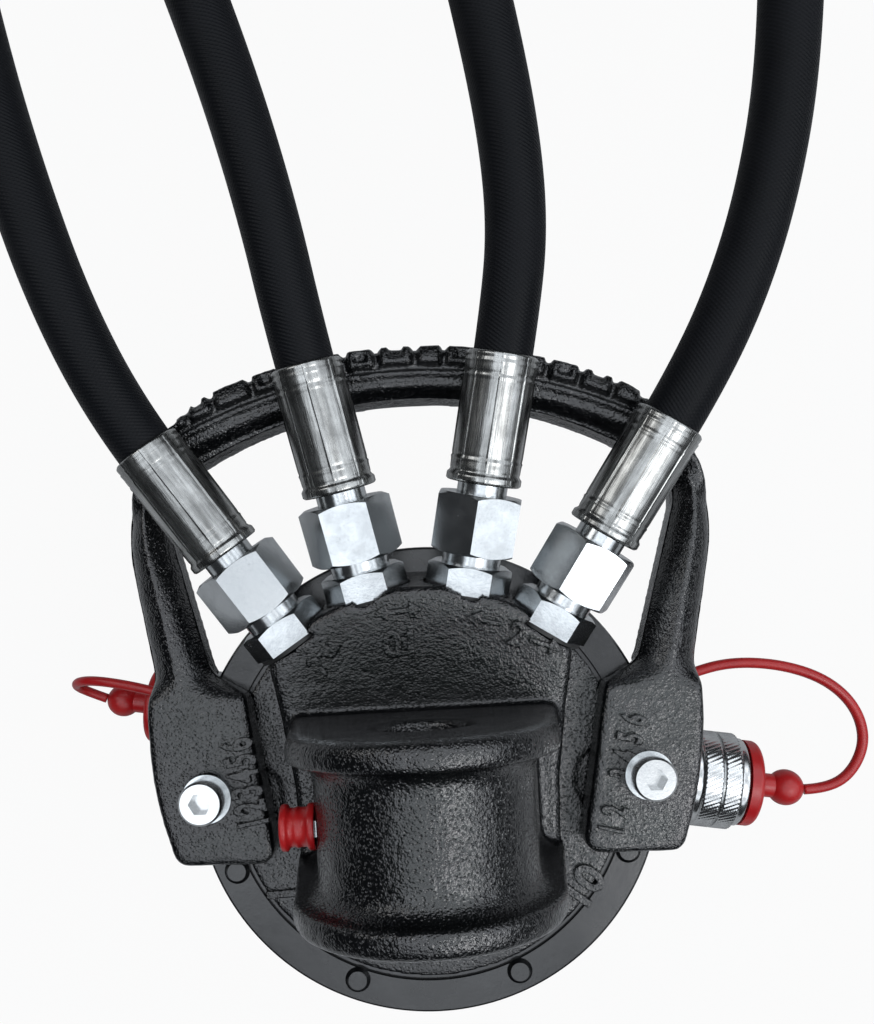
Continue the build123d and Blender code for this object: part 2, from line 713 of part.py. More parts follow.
with BuildSketch() as guard_plan:
    with BuildLine():
        Polyline(
            (0, guard_foot_bottom_y), (guard_foot_outer_x, guard_foot_bottom_y))
        ThreePointArc(
            (guard_foot_outer_x, guard_foot_bottom_y), (guard_foot_bulge_x, 0),
            (guard_leg_outer_x, guard_leg_y))
        Polyline(
            (guard_leg_outer_x, guard_leg_y),
            (leg_x(guard_leg_outer_x, guard_shoulder_outer_x, guard_arch_outer_y), guard_arch_outer_y),
            (0, guard_arch_outer_y), (0, guard_foot_bottom_y))
    make_face()
    mirror(about=Plane.YZ)
    with Locations((0, guard_arch_outer_y - guard_arch_outer_radius)):
        Circle(guard_arch_outer_radius, mode=Mode.INTERSECT)
    add(guard_window.sketch, mode=Mode.SUBTRACT)
    rounds = [
        (guard_foot_outer_x, guard_foot_bottom_y, guard_foot_corner),
        (guard_foot_inner_x, guard_foot_bottom_y, guard_foot_corner),
        (guard_leg_outer_x, guard_leg_y, guard_heel_round),
        (guard_notch_x, guard_notch_y, guard_notch_round),
        (guard_leg_inner_x, guard_leg_y, guard_leg_round),
        (guard_shoulder_outer_x, guard_arch_inner_y, guard_shoulder_outer_round),
        (guard_shoulder_inner_x, guard_shoulder_y, guard_shoulder_inner_round),
    ]
    for x, y, radius in rounds:
        for side in (1, -1):
            fillet(guard_plan.vertices().sort_by_distance((side * x, y))[0], radius)

with BuildPart() as hose_guard:
    with BuildSketch(guard_underside):
        add(guard_plan.sketch)
    extrude(amount=guard_thickness + guard_drop)
    crest = hose_guard.faces().sort_by(Axis.Z)[-1].outer_wire().edges()
    fillet(crest, guard_edge_round)
    # Underside seated on the casting, with a relief round its rim
    round_bar(base, seat_z - guard_drop, seat_z, stator_radius + guard_rim_clearance, Mode.SUBTRACT)
    with BuildSketch(seat):
        with clamp_places:
            Circle(guard_relief_radius)
    extrude(amount=guard_relief_depth, mode=Mode.SUBTRACT)
    with BuildSketch(guard_frame.offset(guard_top)):
        with guard_places:
            Circle(guard_hole_radius)
    extrude(amount=-guard_thickness, mode=Mode.SUBTRACT)
keep(hose_guard.part, "hose_guard")

# Guard screws with their spring washers
screw_seat = seat_z + guard_thickness + guard_washer_height
with BuildPart() as guard_screws:
    with BuildSketch(Plane.XY.offset(screw_seat)):
        with guard_places:
            Circle(screw_head_radius)
    extrude(amount=screw_head_height)
    chamfer(guard_screws.edges().group_by(Axis.Z)[-1], screw_head_chamfer)
    with BuildSketch(Plane.XY.offset(screw_seat + screw_head_height)):
        with guard_places:
            RegularPolygon(screw_socket_af / 2, 6, major_radius=False)
    extrude(amount=-screw_socket_depth, mode=Mode.SUBTRACT)
    with BuildSketch(Plane.XY.offset(screw_seat)):
        with guard_places:
            Circle(screw_radius)
    extrude(amount=-guard_screw_length)
keep(guard_screws.part, "guard_screws")

with BuildPart() as guard_washers:
    with BuildSketch(Plane.XY.offset(seat_z + guard_thickness)):
        with guard_places:
            Circle(guard_washer_radius)
            Circle(guard_washer_bore, mode=Mode.SUBTRACT)
            Rectangle(
                2 * guard_washer_radius, guard_washer_split,
                align=(Align.MIN, Align.CENTER), mode=Mode.SUBTRACT)
    extrude(amount=guard_washer_height)
keep(guard_washers.part, "guard_washers")

# Grease nipple in the side of the eye, and its push-on cap
with BuildPart() as grease_nipple:
    chamfered_hex(nipple_plane, 0, nipple_hex_length, nipple_hex_af, back=False)
    head_end = nipple_head_start + nipple_head_length
    turned(nipple_plane, [
        (-nipple_thread_length, 0),
        (-nipple_thread_length, nipple_thread_radius - nipple_thread_chamfer),
        (nipple_thread_chamfer - nipple_thread_length, nipple_thread_radius),
        (0, nipple_thread_radius), (0, 0),
    ])
    turned(nipple_plane, [
        (nipple_hex_length, 0), (nipple_hex_length, nipple_neck_radius),
        (nipple_head_start, nipple_neck_radius),
        (nipple_head_start + nipple_head_flare, nipple_head_radius),
        (head_end - nipple_head_taper, nipple_head_radius), (head_end, nipple_neck_radius), (head_end, 0),
    ])
    round_bar(nipple_plane, -nipple_thread_length, head_end, nipple_channel_radius, Mode.SUBTRACT)
keep(grease_nipple.part, "grease_nipple")

cap_start = nipple_seat_depth + cap_clearance
cap_hex_room = nipple_hex_af / 2 / cos(radians(30)) + cap_clearance
with BuildPart() as grease_cap:
    turned(nipple_plane, [
        (cap_start, cap_hex_room), (cap_start, cap_rim_radius), (cap_start + cap_rim_width, cap_rim_radius),
        (cap_start + cap_rim_width + cap_rim_taper, cap_waist_radius),
        (cap_length - cap_rim_width - cap_rim_taper, cap_waist_radius),
        (cap_length - cap_rim_width, cap_rim_radius),
        (cap_length, cap_rim_radius), (cap_length, 0), (head_end + cap_clearance, 0),
        (head_end + cap_clearance, nipple_head_radius + cap_grip_clearance),
        (nipple_hex_length + cap_clearance, nipple_head_radius + cap_grip_clearance),
        (nipple_hex_length + cap_clearance, cap_hex_room),
    ])
keep(grease_cap.part, "grease_cap")


def hose_nut(plane):
    """Union nut that draws the hose stem onto an adapter."""
    with BuildPart() as nut:
        chamfered_hex(plane, nut_start, nut_end, nut_af)
        collar_end = adapter_end + stem_collar_length + static_gap
        turned(plane, [
            (nut_start, 0), (nut_start, adapter_neck_radius + static_gap),
            (collar_end, adapter_neck_radius + static_gap), (collar_end, stem_radius + static_gap),
            (nut_end, stem_radius + static_gap), (nut_end, 0),
        ], Mode.SUBTRACT)
    return nut.part


def hose_stem(plane):
    """Hose stem: collar in the nut, neck, and tail inside the ferrule."""
    tail_end = ferrule_end - hose_socket_depth - static_gap
    with BuildPart() as stem:
        turned(plane, [
            (adapter_end, stem_bore_radius), (adapter_end, stem_collar_radius),
            (adapter_end + stem_collar_length, stem_collar_radius),
            (adapter_end + stem_collar_length, stem_radius), (ferrule_start, stem_radius),
            (ferrule_start, stem_tail_radius), (tail_end, stem_tail_radius), (tail_end, stem_bore_radius),
        ])
    return stem.part


def ferrule(plane):
    """Crimped ferrule, eight-sided between its ringed ends."""
    ring_end = ferrule_start + ferrule_ring_length
    grooves = [
        ring_end + ferrule_crimp_margin / 2, ring_end + ferrule_crimp_margin,
        ferrule_end - ferrule_crimp_margin, ferrule_end - ferrule_crimp_margin / 2]
    with BuildPart() as sleeve:
        turned(plane, [
            (ring_end, 0), (ring_end, ferrule_radius), (ferrule_end - ferrule_chamfer, ferrule_radius),
            (ferrule_end, ferrule_radius - ferrule_chamfer), (ferrule_end, 0),
        ])
        with BuildSketch(plane.offset(grooves[1])) as flats:
            Circle(2 * ferrule_radius)
            RegularPolygon(ferrule_flat, ferrule_crimp_sides, major_radius=False, mode=Mode.SUBTRACT)
        extrude(flats.sketch, amount=grooves[2] - grooves[1], mode=Mode.SUBTRACT)
        for place in grooves:
            ring_groove(
                plane, place - ferrule_groove_width / 2, place + ferrule_groove_width / 2,
                ferrule_radius - ferrule_groove_depth, 2 * ferrule_radius)
        round_bar(plane, ferrule_start, ring_end, ferrule_ring_radius)
        round_bar(plane, ferrule_start, ferrule_end, stem_tail_radius + static_gap, Mode.SUBTRACT)
        round_bar(
            plane, ferrule_end - hose_socket_depth, ferrule_end, hose_radius + static_gap, Mode.SUBTRACT)
    return sleeve.part


def soft_tube(points, radius, share):
    """A tube of straight runs and tangent arcs, each arc as large as its two runs allow."""
    stops = [Vector(*point) for point in points]
    runs = [after - before for before, after in zip(stops, stops[1:])]
    bends = []
    for before, after in zip(runs, runs[1:]):
        half_turn = radians(before.get_angle(after)) / 2
        bends.append(share * min(before.length, after.length) / tan(half_turn))
    with BuildPart() as tube:
        with BuildLine() as route:
            FilletPolyline(*stops, radius=bends)
        with BuildSketch(Plane(origin=stops[0], z_dir=runs[0])):
            Circle(radius)
        sweep(path=route.line)
    print("tube length", round(sum(edge.length for edge in route.edges()), 1))
    return tube.part


# Four pressure hoses, each with its adapter, nut, stem and ferrule, and a free end of the same kind
for index, (plane, route, turn) in enumerate(zip(port_planes, hose_routes, nut_turns), start=1):
    with BuildPart() as port_adapter:
        chamfered_hex(plane, seal_thickness, adapter_hex_end, adapter_hex_af, back=False)
        round_bar(plane, -adapter_stud_length, seal_thickness, port_thread_radius)
        round_bar(plane, adapter_hex_end, adapter_end, adapter_neck_radius)
        round_bar(plane, -adapter_stud_length, adapter_end, adapter_bore_radius, Mode.SUBTRACT)
    keep(port_adapter.part, f"port_adapter_{index}")
    hose_start = plane.origin + plane.z_dir * (ferrule_end - hose_socket_depth)
    bend_start = plane.origin + plane.z_dir * (ferrule_end + 2 * hose_socket_depth)
    hose_end = Vector(*route[-1])
    inward = (Vector(*route[-2]) - hose_end).normalized()
    end_plane = Plane(
        origin=hose_end - inward * (ferrule_end - hose_socket_depth),
        x_dir=Vector(0, 0, 1).cross(inward), z_dir=inward)
    keep(hose_nut(twisted(plane, turn)), f"hose_nut_{index}")
    keep(hose_stem(plane), f"hose_stem_{index}")
    keep(ferrule(plane), f"ferrule_{index}")
    keep(soft_tube([hose_start, bend_start] + route, hose_radius, hose_bend_share), f"hose_{index}")
    keep(ferrule(end_plane), f"end_ferrule_{index}")
    keep(hose_stem(end_plane), f"end_stem_{index}")
    keep(hose_nut(end_plane), f"end_nut_{index}")

with BuildPart() as port_seals:
    for plane in port_planes:
        ring_groove(plane, 0, seal_thickness, port_thread_radius + static_gap, seal_outer_radius, Mode.ADD)
keep(port_seals.part, "port_seals")

# Quick couplings on the rotor, with their sleeves, dust plugs and lanyards
body_start = coupling_adapter_hex
body_end = body_start + coupling_body_length
plug_start = sleeve_end + plug_gap
plug_end = plug_start + plug_flange_thickness
ball_centre = plug_start + plug_ball_offset
stub_radius = coupling_bore_radius - plug_stub_clearance
ring_inner = coupling_body_radius + strap_ring_gap
ring_outer = ring_inner + strap_ring_wall
ring_end = strap_ring_offset + strap_ring_width
for side, plane in side_planes.items():
    with BuildPart() as coupling_adapter:
        chamfered_hex(plane, 0, coupling_adapter_hex, coupling_adapter_af, back=False)
        stud_start = thread_run_out - side_thread_depth
        round_bar(plane, stud_start, body_start + coupling_stud_length, coupling_stud_radius)
        round_bar(
            plane, stud_start, body_start + coupling_stud_length,
            adapter_bore_radius, Mode.SUBTRACT)
    keep(coupling_adapter.part, f"coupling_adapter_{side}")

    with BuildPart() as coupling_body:
        chamfered_hex(plane, body_start, body_start + coupling_hex_length, coupling_hex_af)
        round_bar(plane, body_start + coupling_hex_length, body_end, coupling_body_radius)
        thread_end = body_start + coupling_stud_length + thread_run_out
        turned(plane, [
            (body_start, 0), (body_start, coupling_stud_radius + static_gap),
            (thread_end, coupling_stud_radius + static_gap), (thread_end, coupling_passage_radius),
            (body_end - coupling_bore_depth, coupling_passage_radius),
            (body_end - coupling_bore_depth, coupling_bore_radius), (body_end, coupling_bore_radius),
            (body_end, 0),
        ], Mode.SUBTRACT)
    keep(coupling_body.part, f"coupling_body_{side}")

    with BuildPart() as coupling_sleeve:
        band_ends = [start + width for start, width in zip(sleeve_band_starts, sleeve_band_widths)]
        turned(plane, [
            (sleeve_start, coupling_body_radius + sleeve_fit),
            (sleeve_start, sleeve_back_radius - sleeve_chamfer),
            (sleeve_start + sleeve_chamfer, sleeve_back_radius), (sleeve_band_starts[0], sleeve_back_radius),
            (sleeve_band_starts[0], sleeve_band_radius), (band_ends[0], sleeve_band_radius),
            (band_ends[0], sleeve_groove_radius), (sleeve_band_starts[1], sleeve_groove_radius),
            (sleeve_band_starts[1], sleeve_band_radius), (band_ends[1], sleeve_band_radius),
            (sleeve_end, sleeve_front_radius), (sleeve_end, sleeve_mouth_radius),
            (sleeve_end - sleeve_mouth_depth, coupling_body_radius + sleeve_fit),
        ])
    keep(coupling_sleeve.part, f"coupling_sleeve_{side}")

    with BuildPart() as dust_plug:
        round_bar(plane, plug_start, plug_end, plug_flange_radius)
        rim = dust_plug.edges().filter_by(GeomType.CIRCLE).sort_by(Axis(plane.origin, plane.z_dir))[-1]
        fillet(rim, plug_flange_round)
        stub_start = body_end - plug_stub_length
        turned(plane, [
            (stub_start, 0), (stub_start, stub_radius - plug_stub_chamfer),
            (stub_start + plug_stub_chamfer, stub_radius), (plug_start, stub_radius), (plug_start, 0),
        ])
        round_bar(plane, plug_end, ball_centre, plug_neck_radius)
        with Locations(Location(plane.offset(ball_centre))):
            Sphere(plug_ball_radius)
    keep(dust_plug.part, f"dust_plug_{side}")

    strap_route = [(0, 0, ball_centre + plug_ball_radius + strap_gap)] + lanyard_routes[side]
    ring_middle = strap_ring_offset + strap_ring_width / 2
    ring_side = ring_outer + strap_gap
    landing = (ring_side, 0, ring_middle) if side == "right" else (0, ring_side, ring_middle)
    strap_points = [
        plane.origin + plane.x_dir * across + plane.y_dir * up + plane.z_dir * along
        for across, up, along in strap_route + [landing]]
    keep(soft_tube(strap_points, strap_radius, hose_bend_share), f"lanyard_{side}")

with BuildPart() as lanyard_rings:
    for plane in side_planes.values():
        ring_groove(plane, strap_ring_offset, ring_end, ring_inner, ring_outer, Mode.ADD)
keep(lanyard_rings.part, "lanyard_rings")
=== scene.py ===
import json
from math import atan2, cos, degrees, exp, hypot, pi, radians, sin

import bmesh
import bpy
from mathutils import Matrix, Vector, kdtree, noise


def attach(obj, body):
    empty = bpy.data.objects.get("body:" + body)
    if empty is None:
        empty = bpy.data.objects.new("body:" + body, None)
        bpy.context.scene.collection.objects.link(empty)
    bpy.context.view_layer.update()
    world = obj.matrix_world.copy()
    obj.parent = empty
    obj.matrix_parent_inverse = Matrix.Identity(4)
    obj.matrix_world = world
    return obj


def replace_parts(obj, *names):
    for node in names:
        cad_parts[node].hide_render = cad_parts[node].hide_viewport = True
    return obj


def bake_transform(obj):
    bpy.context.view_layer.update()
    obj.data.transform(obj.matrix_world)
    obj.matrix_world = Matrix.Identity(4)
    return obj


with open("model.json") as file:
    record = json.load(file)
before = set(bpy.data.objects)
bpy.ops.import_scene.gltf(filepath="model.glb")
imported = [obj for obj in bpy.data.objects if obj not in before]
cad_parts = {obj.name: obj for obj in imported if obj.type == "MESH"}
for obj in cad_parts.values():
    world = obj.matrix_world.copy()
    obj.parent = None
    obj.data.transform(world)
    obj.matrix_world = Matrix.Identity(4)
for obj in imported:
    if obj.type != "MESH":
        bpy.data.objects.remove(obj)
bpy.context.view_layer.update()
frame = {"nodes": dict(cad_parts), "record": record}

# Hydraulic grapple rotator. The cast housing, the guard, the hoses, the lanyards and the knurled
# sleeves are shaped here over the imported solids, and the other pieces get their finishes.
# Metres and degrees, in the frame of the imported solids: the origin is the centre of the bottom
# flange face, +Z runs up along the slewing axis and +Y points towards the hoses.

MM = 0.001
WELD = 1e-6
nodes = frame["nodes"]

# Heights and radii of the housing, as in the solids
SEAT_Z = 0.152
RIM_THICKNESS = 0.012
STATOR_RADIUS = 0.0737
DECK_RADIUS = 0.0628
DECK_DROP = 0.0006
SEAM_WIDTH = 0.0009
SEAM_DEPTH = 0.001
DECK_SPOTS = [(0.057, -0.0025), (-0.057, -0.0025)]
DECK_SPOT_RADIUS = 0.0107
DECK_SPOT_DEPTH = 0.0005
BLOCK_LEVEL = 0.020
PORT_RISE = 12.0
PORT_PLACES = [-39.5, -14.2, 14.2, 39.5]
PORT_HEADINGS = [-33.0, -11.5, 11.5, 33.0]
PORT_FACE_RADIUS = 0.0595
PORT_FACE_HEIGHT = 0.0137
SPOT_FACE_RADIUS = 0.0129
EYE_Z = 0.212
EYE_HALF_LENGTH = 0.0242
LINK_BORE_RADIUS = 0.0125

# The guard, whose feet stand a little turned on the housing
GUARD_TURN = -1.2
GUARD_TOP = 0.164
GUARD_SCREW_X = 0.067
WASHER_REACH = 0.0085

# Hoses and ferrules, with heights along a port's axis from its spot face, and the width of a
# ferrule's fin in radians
HOSE_RADIUS = 0.00855
HOSE_SOCKET_DEPTH = 0.006
FERRULE_START = 0.0334
FERRULE_END = 0.0704
FERRULE_COLLAR = 0.0109
FERRULE_RADIUS = 0.0102
FERRULE_RINGS = [0.0026, 0.0068, 0.0302, 0.0344]
FERRULE_SEGMENTS = 8
FIN_HEIGHT = 0.00038
FIN_WIDTH = 0.022
CRIMP_DEPTH = 0.00022
STEM_BORE = 0.00485
SOCKET_BORE = 0.0086

# Quick couplings: the rotor's side ports as (heading, reach, level), a sleeve's outline as
# (radius, height) from the face of its port, and the slant of its knurls in radians a metre
ROTOR_TURN = -9.5
SIDE_FACES = {"right": (90.0, 0.048, 0.076), "left": (270.0, 0.042, 0.034)}
SLEEVE_OUTLINE = [
    (0.01355, 0.0737), (0.01355, 0.042), (0.0164, 0.042), (0.0174, 0.043), (0.0174, 0.0568),
    (0.019, 0.0572), (0.019, 0.064), (0.0177, 0.0642), (0.0177, 0.0647), (0.019, 0.0649),
    (0.019, 0.0712), (0.0172, 0.0716), (0.0172, 0.0743), (0.0164, 0.0751), (0.0156, 0.0751)]
KNURLS_AROUND = 64
KNURL_RADIUS = 0.019
KNURL_HEIGHT = 0.00032
KNURL_SLANT = 1900.0

# The grease nipple's cap, as (radius, height) along the nipple
CAP_OUTLINE = [
    (0.0044, 0.0006), (0.0057, 0.0006), (0.0059, 0.0008), (0.0059, 0.0021), (0.0056, 0.0025),
    (0.0050, 0.0028), (0.0050, 0.0046), (0.0051, 0.0048), (0.0051, 0.0056), (0.0049, 0.0058),
    (0.0049, 0.0072), (0.0056, 0.0075), (0.0059, 0.0079), (0.0059, 0.0088), (0.0057, 0.0092),
    (0, 0.0093), (0, 0.0082), (0.0033, 0.0082), (0.0033, 0.0038), (0.0044, 0.0038)]
CAP_PLACE = Vector((-0.0273, 0, 0.212))

# Lanyards, with heights from the face of a side port
STRAP_RADIUS = 0.00205
BALL_TOP = 0.1019
STRAP_RING_SIDE = 0.017
STRAP_RING_MIDDLE = 0.031

# Points of the hoses beyond their ferrules, and of the lanyards as (across, up, along) from the
# faces of the side ports
HOSE_ROUTES = [
    [(-0.0944, 0.1436, 0.1878), (-0.1038, 0.178, 0.1915), (-0.1118, 0.214, 0.1938),
     (-0.1205, 0.268, 0.197), (-0.1265, 0.319, 0.1815), (-0.1295, 0.358, 0.141), (-0.131, 0.376, 0.0855),
     (-0.132, 0.411, 0.0385), (-0.133, 0.461, 0.0121), (-0.134, 0.528, 0.0121)],
    [(-0.0356, 0.166, 0.1876), (-0.0435, 0.199, 0.191), (-0.054, 0.233, 0.1935), (-0.0705, 0.284, 0.197),
     (-0.08, 0.334, 0.1815), (-0.0845, 0.372, 0.141), (-0.086, 0.39, 0.0855), (-0.0875, 0.425, 0.0385),
     (-0.0885, 0.475, 0.0121), (-0.089, 0.53, 0.0121)],
    [(0.0336, 0.158, 0.1866), (0.0325, 0.182, 0.1895), (0.0278, 0.212, 0.192), (0.0185, 0.256, 0.196),
     (0.011, 0.307, 0.1805), (0.008, 0.346, 0.14), (0.0075, 0.364, 0.0845), (0.008, 0.399, 0.038),
     (0.0095, 0.449, 0.0121), (0.012, 0.52, 0.0121)],
    [(0.0935, 0.1365, 0.187), (0.1028, 0.1635, 0.19), (0.1093, 0.196, 0.1923), (0.1115, 0.239, 0.196),
     (0.1115, 0.29, 0.1805), (0.111, 0.329, 0.14), (0.111, 0.347, 0.0845), (0.1115, 0.382, 0.038),
     (0.113, 0.432, 0.0121), (0.116, 0.508, 0.0121)],
]
LANYARD_ROUTES = {
    "right": [(0.0015, 0.001, 0.11), (0.008, 0.003, 0.118), (0.02, 0.005, 0.1215),
              (0.031, 0.007, 0.118), (0.04, 0.008, 0.11), (0.046, 0.0085, 0.098),
              (0.0485, 0.0075, 0.082), (0.047, 0.005, 0.065), (0.041, 0.0025, 0.051),
              (0.033, 0.001, 0.039), (0.026, 0, 0.0315)],
    "left": [(-0.002, 0.0015, 0.1095), (-0.005, 0.0085, 0.1135), (-0.008, 0.017, 0.1085),
             (-0.0095, 0.0215, 0.099), (-0.009, 0.023, 0.084), (-0.007, 0.0235, 0.068),
             (-0.004, 0.024, 0.053), (-0.002, 0.0255, 0.041), (-0.0005, 0.025, 0.032)],
}


# Shader node helpers

def add(tree, kind, inputs=None, **settings):
    """A new node of a tree, with its settings and with its inputs linked or set."""
    made = tree.nodes.new("ShaderNode" + kind)
    for name, value in settings.items():
        setattr(made, name, value)
    for name, value in (inputs or {}).items():
        if isinstance(value, bpy.types.NodeSocket):
            tree.links.new(value, made.inputs[name])
        else:
            made.inputs[name].default_value = value
    return made


def effect(name, inputs, outputs):
    """An empty node group with float or vector inputs and float outputs."""
    tree = bpy.data.node_groups.new(name, "ShaderNodeTree")
    for label, value in inputs.items():
        kind = "NodeSocketVector" if value is None else "NodeSocketFloat"
        made = tree.interface.new_socket(label, in_out="INPUT", socket_type=kind)
        if value is not None:
            made.default_value = value
    for label in outputs:
        tree.interface.new_socket(label, in_out="OUTPUT", socket_type="NodeSocketFloat")
    return tree, tree.nodes.new("NodeGroupInput").outputs, tree.nodes.new("NodeGroupOutput").inputs


def number(tree, operation, first, second=0.0):
    """The output of a math node."""
    return add(tree, "Math", {0: first, 1: second}, operation=operation).outputs[0]


def ramp(tree, value, low, high):
    """A value stretched from low..high to 0..1 and held there."""
    made = add(tree, "MapRange", {"Value": value, "From Min": low, "From Max": high})
    made.interpolation_type = "SMOOTHSTEP"
    return made.outputs[0]


def cast_grain():
    """Lumps and fine grain of a sand casting under thick paint."""
    tree, given, out = effect(
        "cast_grain", {"Vector": None, "Lump Scale": 180.0, "Grain Scale": 700.0, "Grain": 0.4},
        ["Height"])
    lumps = add(tree, "TexNoise", {
        "Vector": given["Vector"], "Scale": given["Lump Scale"], "Detail": 3.0, "Roughness": 0.55})
    grain = add(tree, "TexNoise", {
        "Vector": given["Vector"], "Scale": given["Grain Scale"], "Detail": 2.0, "Roughness": 0.6})
    cells = add(tree, "TexVoronoi", {"Vector": given["Vector"], "Scale": given["Grain Scale"]})
    pits = ramp(tree, cells.outputs["Distance"], 0.05, 0.45)
    fine = number(tree, "MULTIPLY", grain.outputs[0], pits)
    fine = number(tree, "MULTIPLY", fine, given["Grain"])
    tree.links.new(number(tree, "ADD", lumps.outputs[0], fine), out["Height"])
    return tree


def surface_wear():
    """Soft patches and small specks that change a surface's shade and gloss."""
    tree, given, out = effect(
        "surface_wear", {"Vector": None, "Patch Scale": 40.0, "Speck Scale": 900.0},
        ["Patches", "Specks"])
    patches = add(tree, "TexNoise", {
        "Vector": given["Vector"], "Scale": given["Patch Scale"], "Detail": 4.0, "Roughness": 0.6})
    specks = add(tree, "TexNoise", {
        "Vector": given["Vector"], "Scale": given["Speck Scale"], "Detail": 1.0})
    tree.links.new(ramp(tree, patches.outputs[0], 0.35, 0.7), out["Patches"])
    tree.links.new(ramp(tree, specks.outputs[0], 0.66, 0.74), out["Specks"])
    return tree


def tool_marks():
    """Fine scratches, drawn out along the third axis of the vector."""
    tree, given, out = effect(
        "tool_marks", {"Vector": None, "Scale": 900.0, "Stretch": 0.05}, ["Scratches"])
    parts = add(tree, "SeparateXYZ", {"Vector": given["Vector"]})
    drawn = number(tree, "MULTIPLY", parts.outputs["Z"], given["Stretch"])
    vector = add(tree, "CombineXYZ", {
        "X": parts.outputs["X"], "Y": parts.outputs["Y"], "Z": drawn})
    lines = add(tree, "TexNoise", {
        "Vector": vector.outputs[0], "Scale": given["Scale"], "Detail": 3.0})
    tree.links.new(lines.outputs[0], out["Scratches"])
    return tree


def cloth_wrap():
    """The print of a diagonal cloth wrap: fine cords that run round a hose, and their overlaps."""
    tree, given, out = effect(
        "cloth_wrap", {"Vector": None, "Cords": 26.0, "Pitch": 0.0011, "Lap": 0.055},
        ["Height", "Lap Edge"])
    parts = add(tree, "SeparateXYZ", {"Vector": given["Vector"]})
    around = number(tree, "MULTIPLY", parts.outputs["X"], given["Cords"])
    along = number(tree, "DIVIDE", parts.outputs["Y"], given["Pitch"])
    turn = number(tree, "MULTIPLY", number(tree, "ADD", around, along), 2 * pi)
    cords = number(tree, "SINE", turn)
    cross = number(tree, "MULTIPLY", number(tree, "SUBTRACT", around, along), 2 * pi)
    weft = number(tree, "MULTIPLY", number(tree, "SINE", cross), 0.35)
    lap = number(tree, "DIVIDE", parts.outputs["Y"], given["Lap"])
    lap = number(tree, "FRACT", number(tree, "ADD", lap, parts.outputs["X"]))
    tree.links.new(number(tree, "ADD", cords, weft), out["Height"])
    tree.links.new(ramp(tree, lap, 0.965, 1.0), out["Lap Edge"])
    return tree


GROUPS = {make.__name__: make() for make in (cast_grain, surface_wear, tool_marks, cloth_wrap)}


def use(tree, name, **inputs):
    """A placed effect group, its inputs given by their labels with _ for a space."""
    made = tree.nodes.new("ShaderNodeGroup")
    made.node_tree = GROUPS[name]
    for label, value in inputs.items():
        target = made.inputs[label.replace("_", " ")]
        if isinstance(value, bpy.types.NodeSocket):
            tree.links.new(value, target)
        else:
            target.default_value = value
    return made


def finish_base(name, **uniform):
    """A material with its shader, and a vector over the surface."""
    made = bpy.data.materials.new(name)
    made.use_nodes = True
    tree = made.node_tree
    shader = tree.nodes["Principled BSDF"]
    for label, value in uniform.items():
        shader.inputs[label.replace("_", " ")].default_value = value
    place = add(tree, "TexCoord").outputs["Object"]
    return made, tree, shader, place


def tint(tree, shader, mask, low, high):
    """A base colour that changes from low to high with a mask."""
    mixed = add(tree, "Mix", {"Factor": mask, "A": (*low, 1), "B": (*high, 1)}, data_type="RGBA")
    tree.links.new(mixed.outputs["Result"], shader.inputs["Base Color"])


def gloss(tree, shader, mask, low, high):
    """A roughness that changes from low to high with a mask."""
    made = add(tree, "MapRange", {"Value": mask, "To Min": low, "To Max": high})
    tree.links.new(made.outputs[0], shader.inputs["Roughness"])


def relief(tree, shader, height, depth):
    """A bump of that depth in metres on the shader's normal."""
    bump = add(tree, "Bump", {"Height": height, "Distance": depth, "Strength": 1.0})
    tree.links.new(bump.outputs[0], shader.inputs["Normal"])


def black_paint(name, lump_scale, grain_scale, grain, depth, low_gloss, high_gloss):
    """Thick gloss paint over cast iron."""
    made, tree, shader, place = finish_base(name, IOR=1.6)
    cast = use(tree, "cast_grain", Vector=place, Lump_Scale=lump_scale, Grain_Scale=grain_scale,
               Grain=grain)
    wear = use(tree, "surface_wear", Vector=place, Patch_Scale=55.0, Speck_Scale=650.0)
    tint(tree, shader, number(tree, "MULTIPLY", wear.outputs["Specks"], 0.6),
         (0.0016, 0.0018, 0.0022), (0.014, 0.015, 0.017))
    gloss(tree, shader, wear.outputs["Patches"], low_gloss, high_gloss)
    relief(tree, shader, cast.outputs["Height"], depth)
    return made


def zinc(name, colour, low_gloss, high_gloss):
    """Bright zinc plate with fine marks from handling."""
    made, tree, shader, place = finish_base(name, Metallic=1.0)
    marks = use(tree, "tool_marks", Vector=place, Scale=1400.0, Stretch=1.0)
    wear = use(tree, "surface_wear", Vector=place, Patch_Scale=130.0, Speck_Scale=1500.0)
    dull = tuple(share * 0.72 for share in colour)
    mask = number(tree, "ADD", number(tree, "MULTIPLY", wear.outputs["Patches"], 0.55),
                  number(tree, "MULTIPLY", wear.outputs["Specks"], 0.4))
    tint(tree, shader, mask, colour, dull)
    rough = number(tree, "MULTIPLY", marks.outputs["Scratches"], 0.5)
    rough = number(tree, "ADD", rough, number(tree, "MULTIPLY", wear.outputs["Patches"], 0.5))
    gloss(tree, shader, rough, low_gloss, high_gloss)
    relief(tree, shader, marks.outputs["Scratches"], 0.00002)
    return made


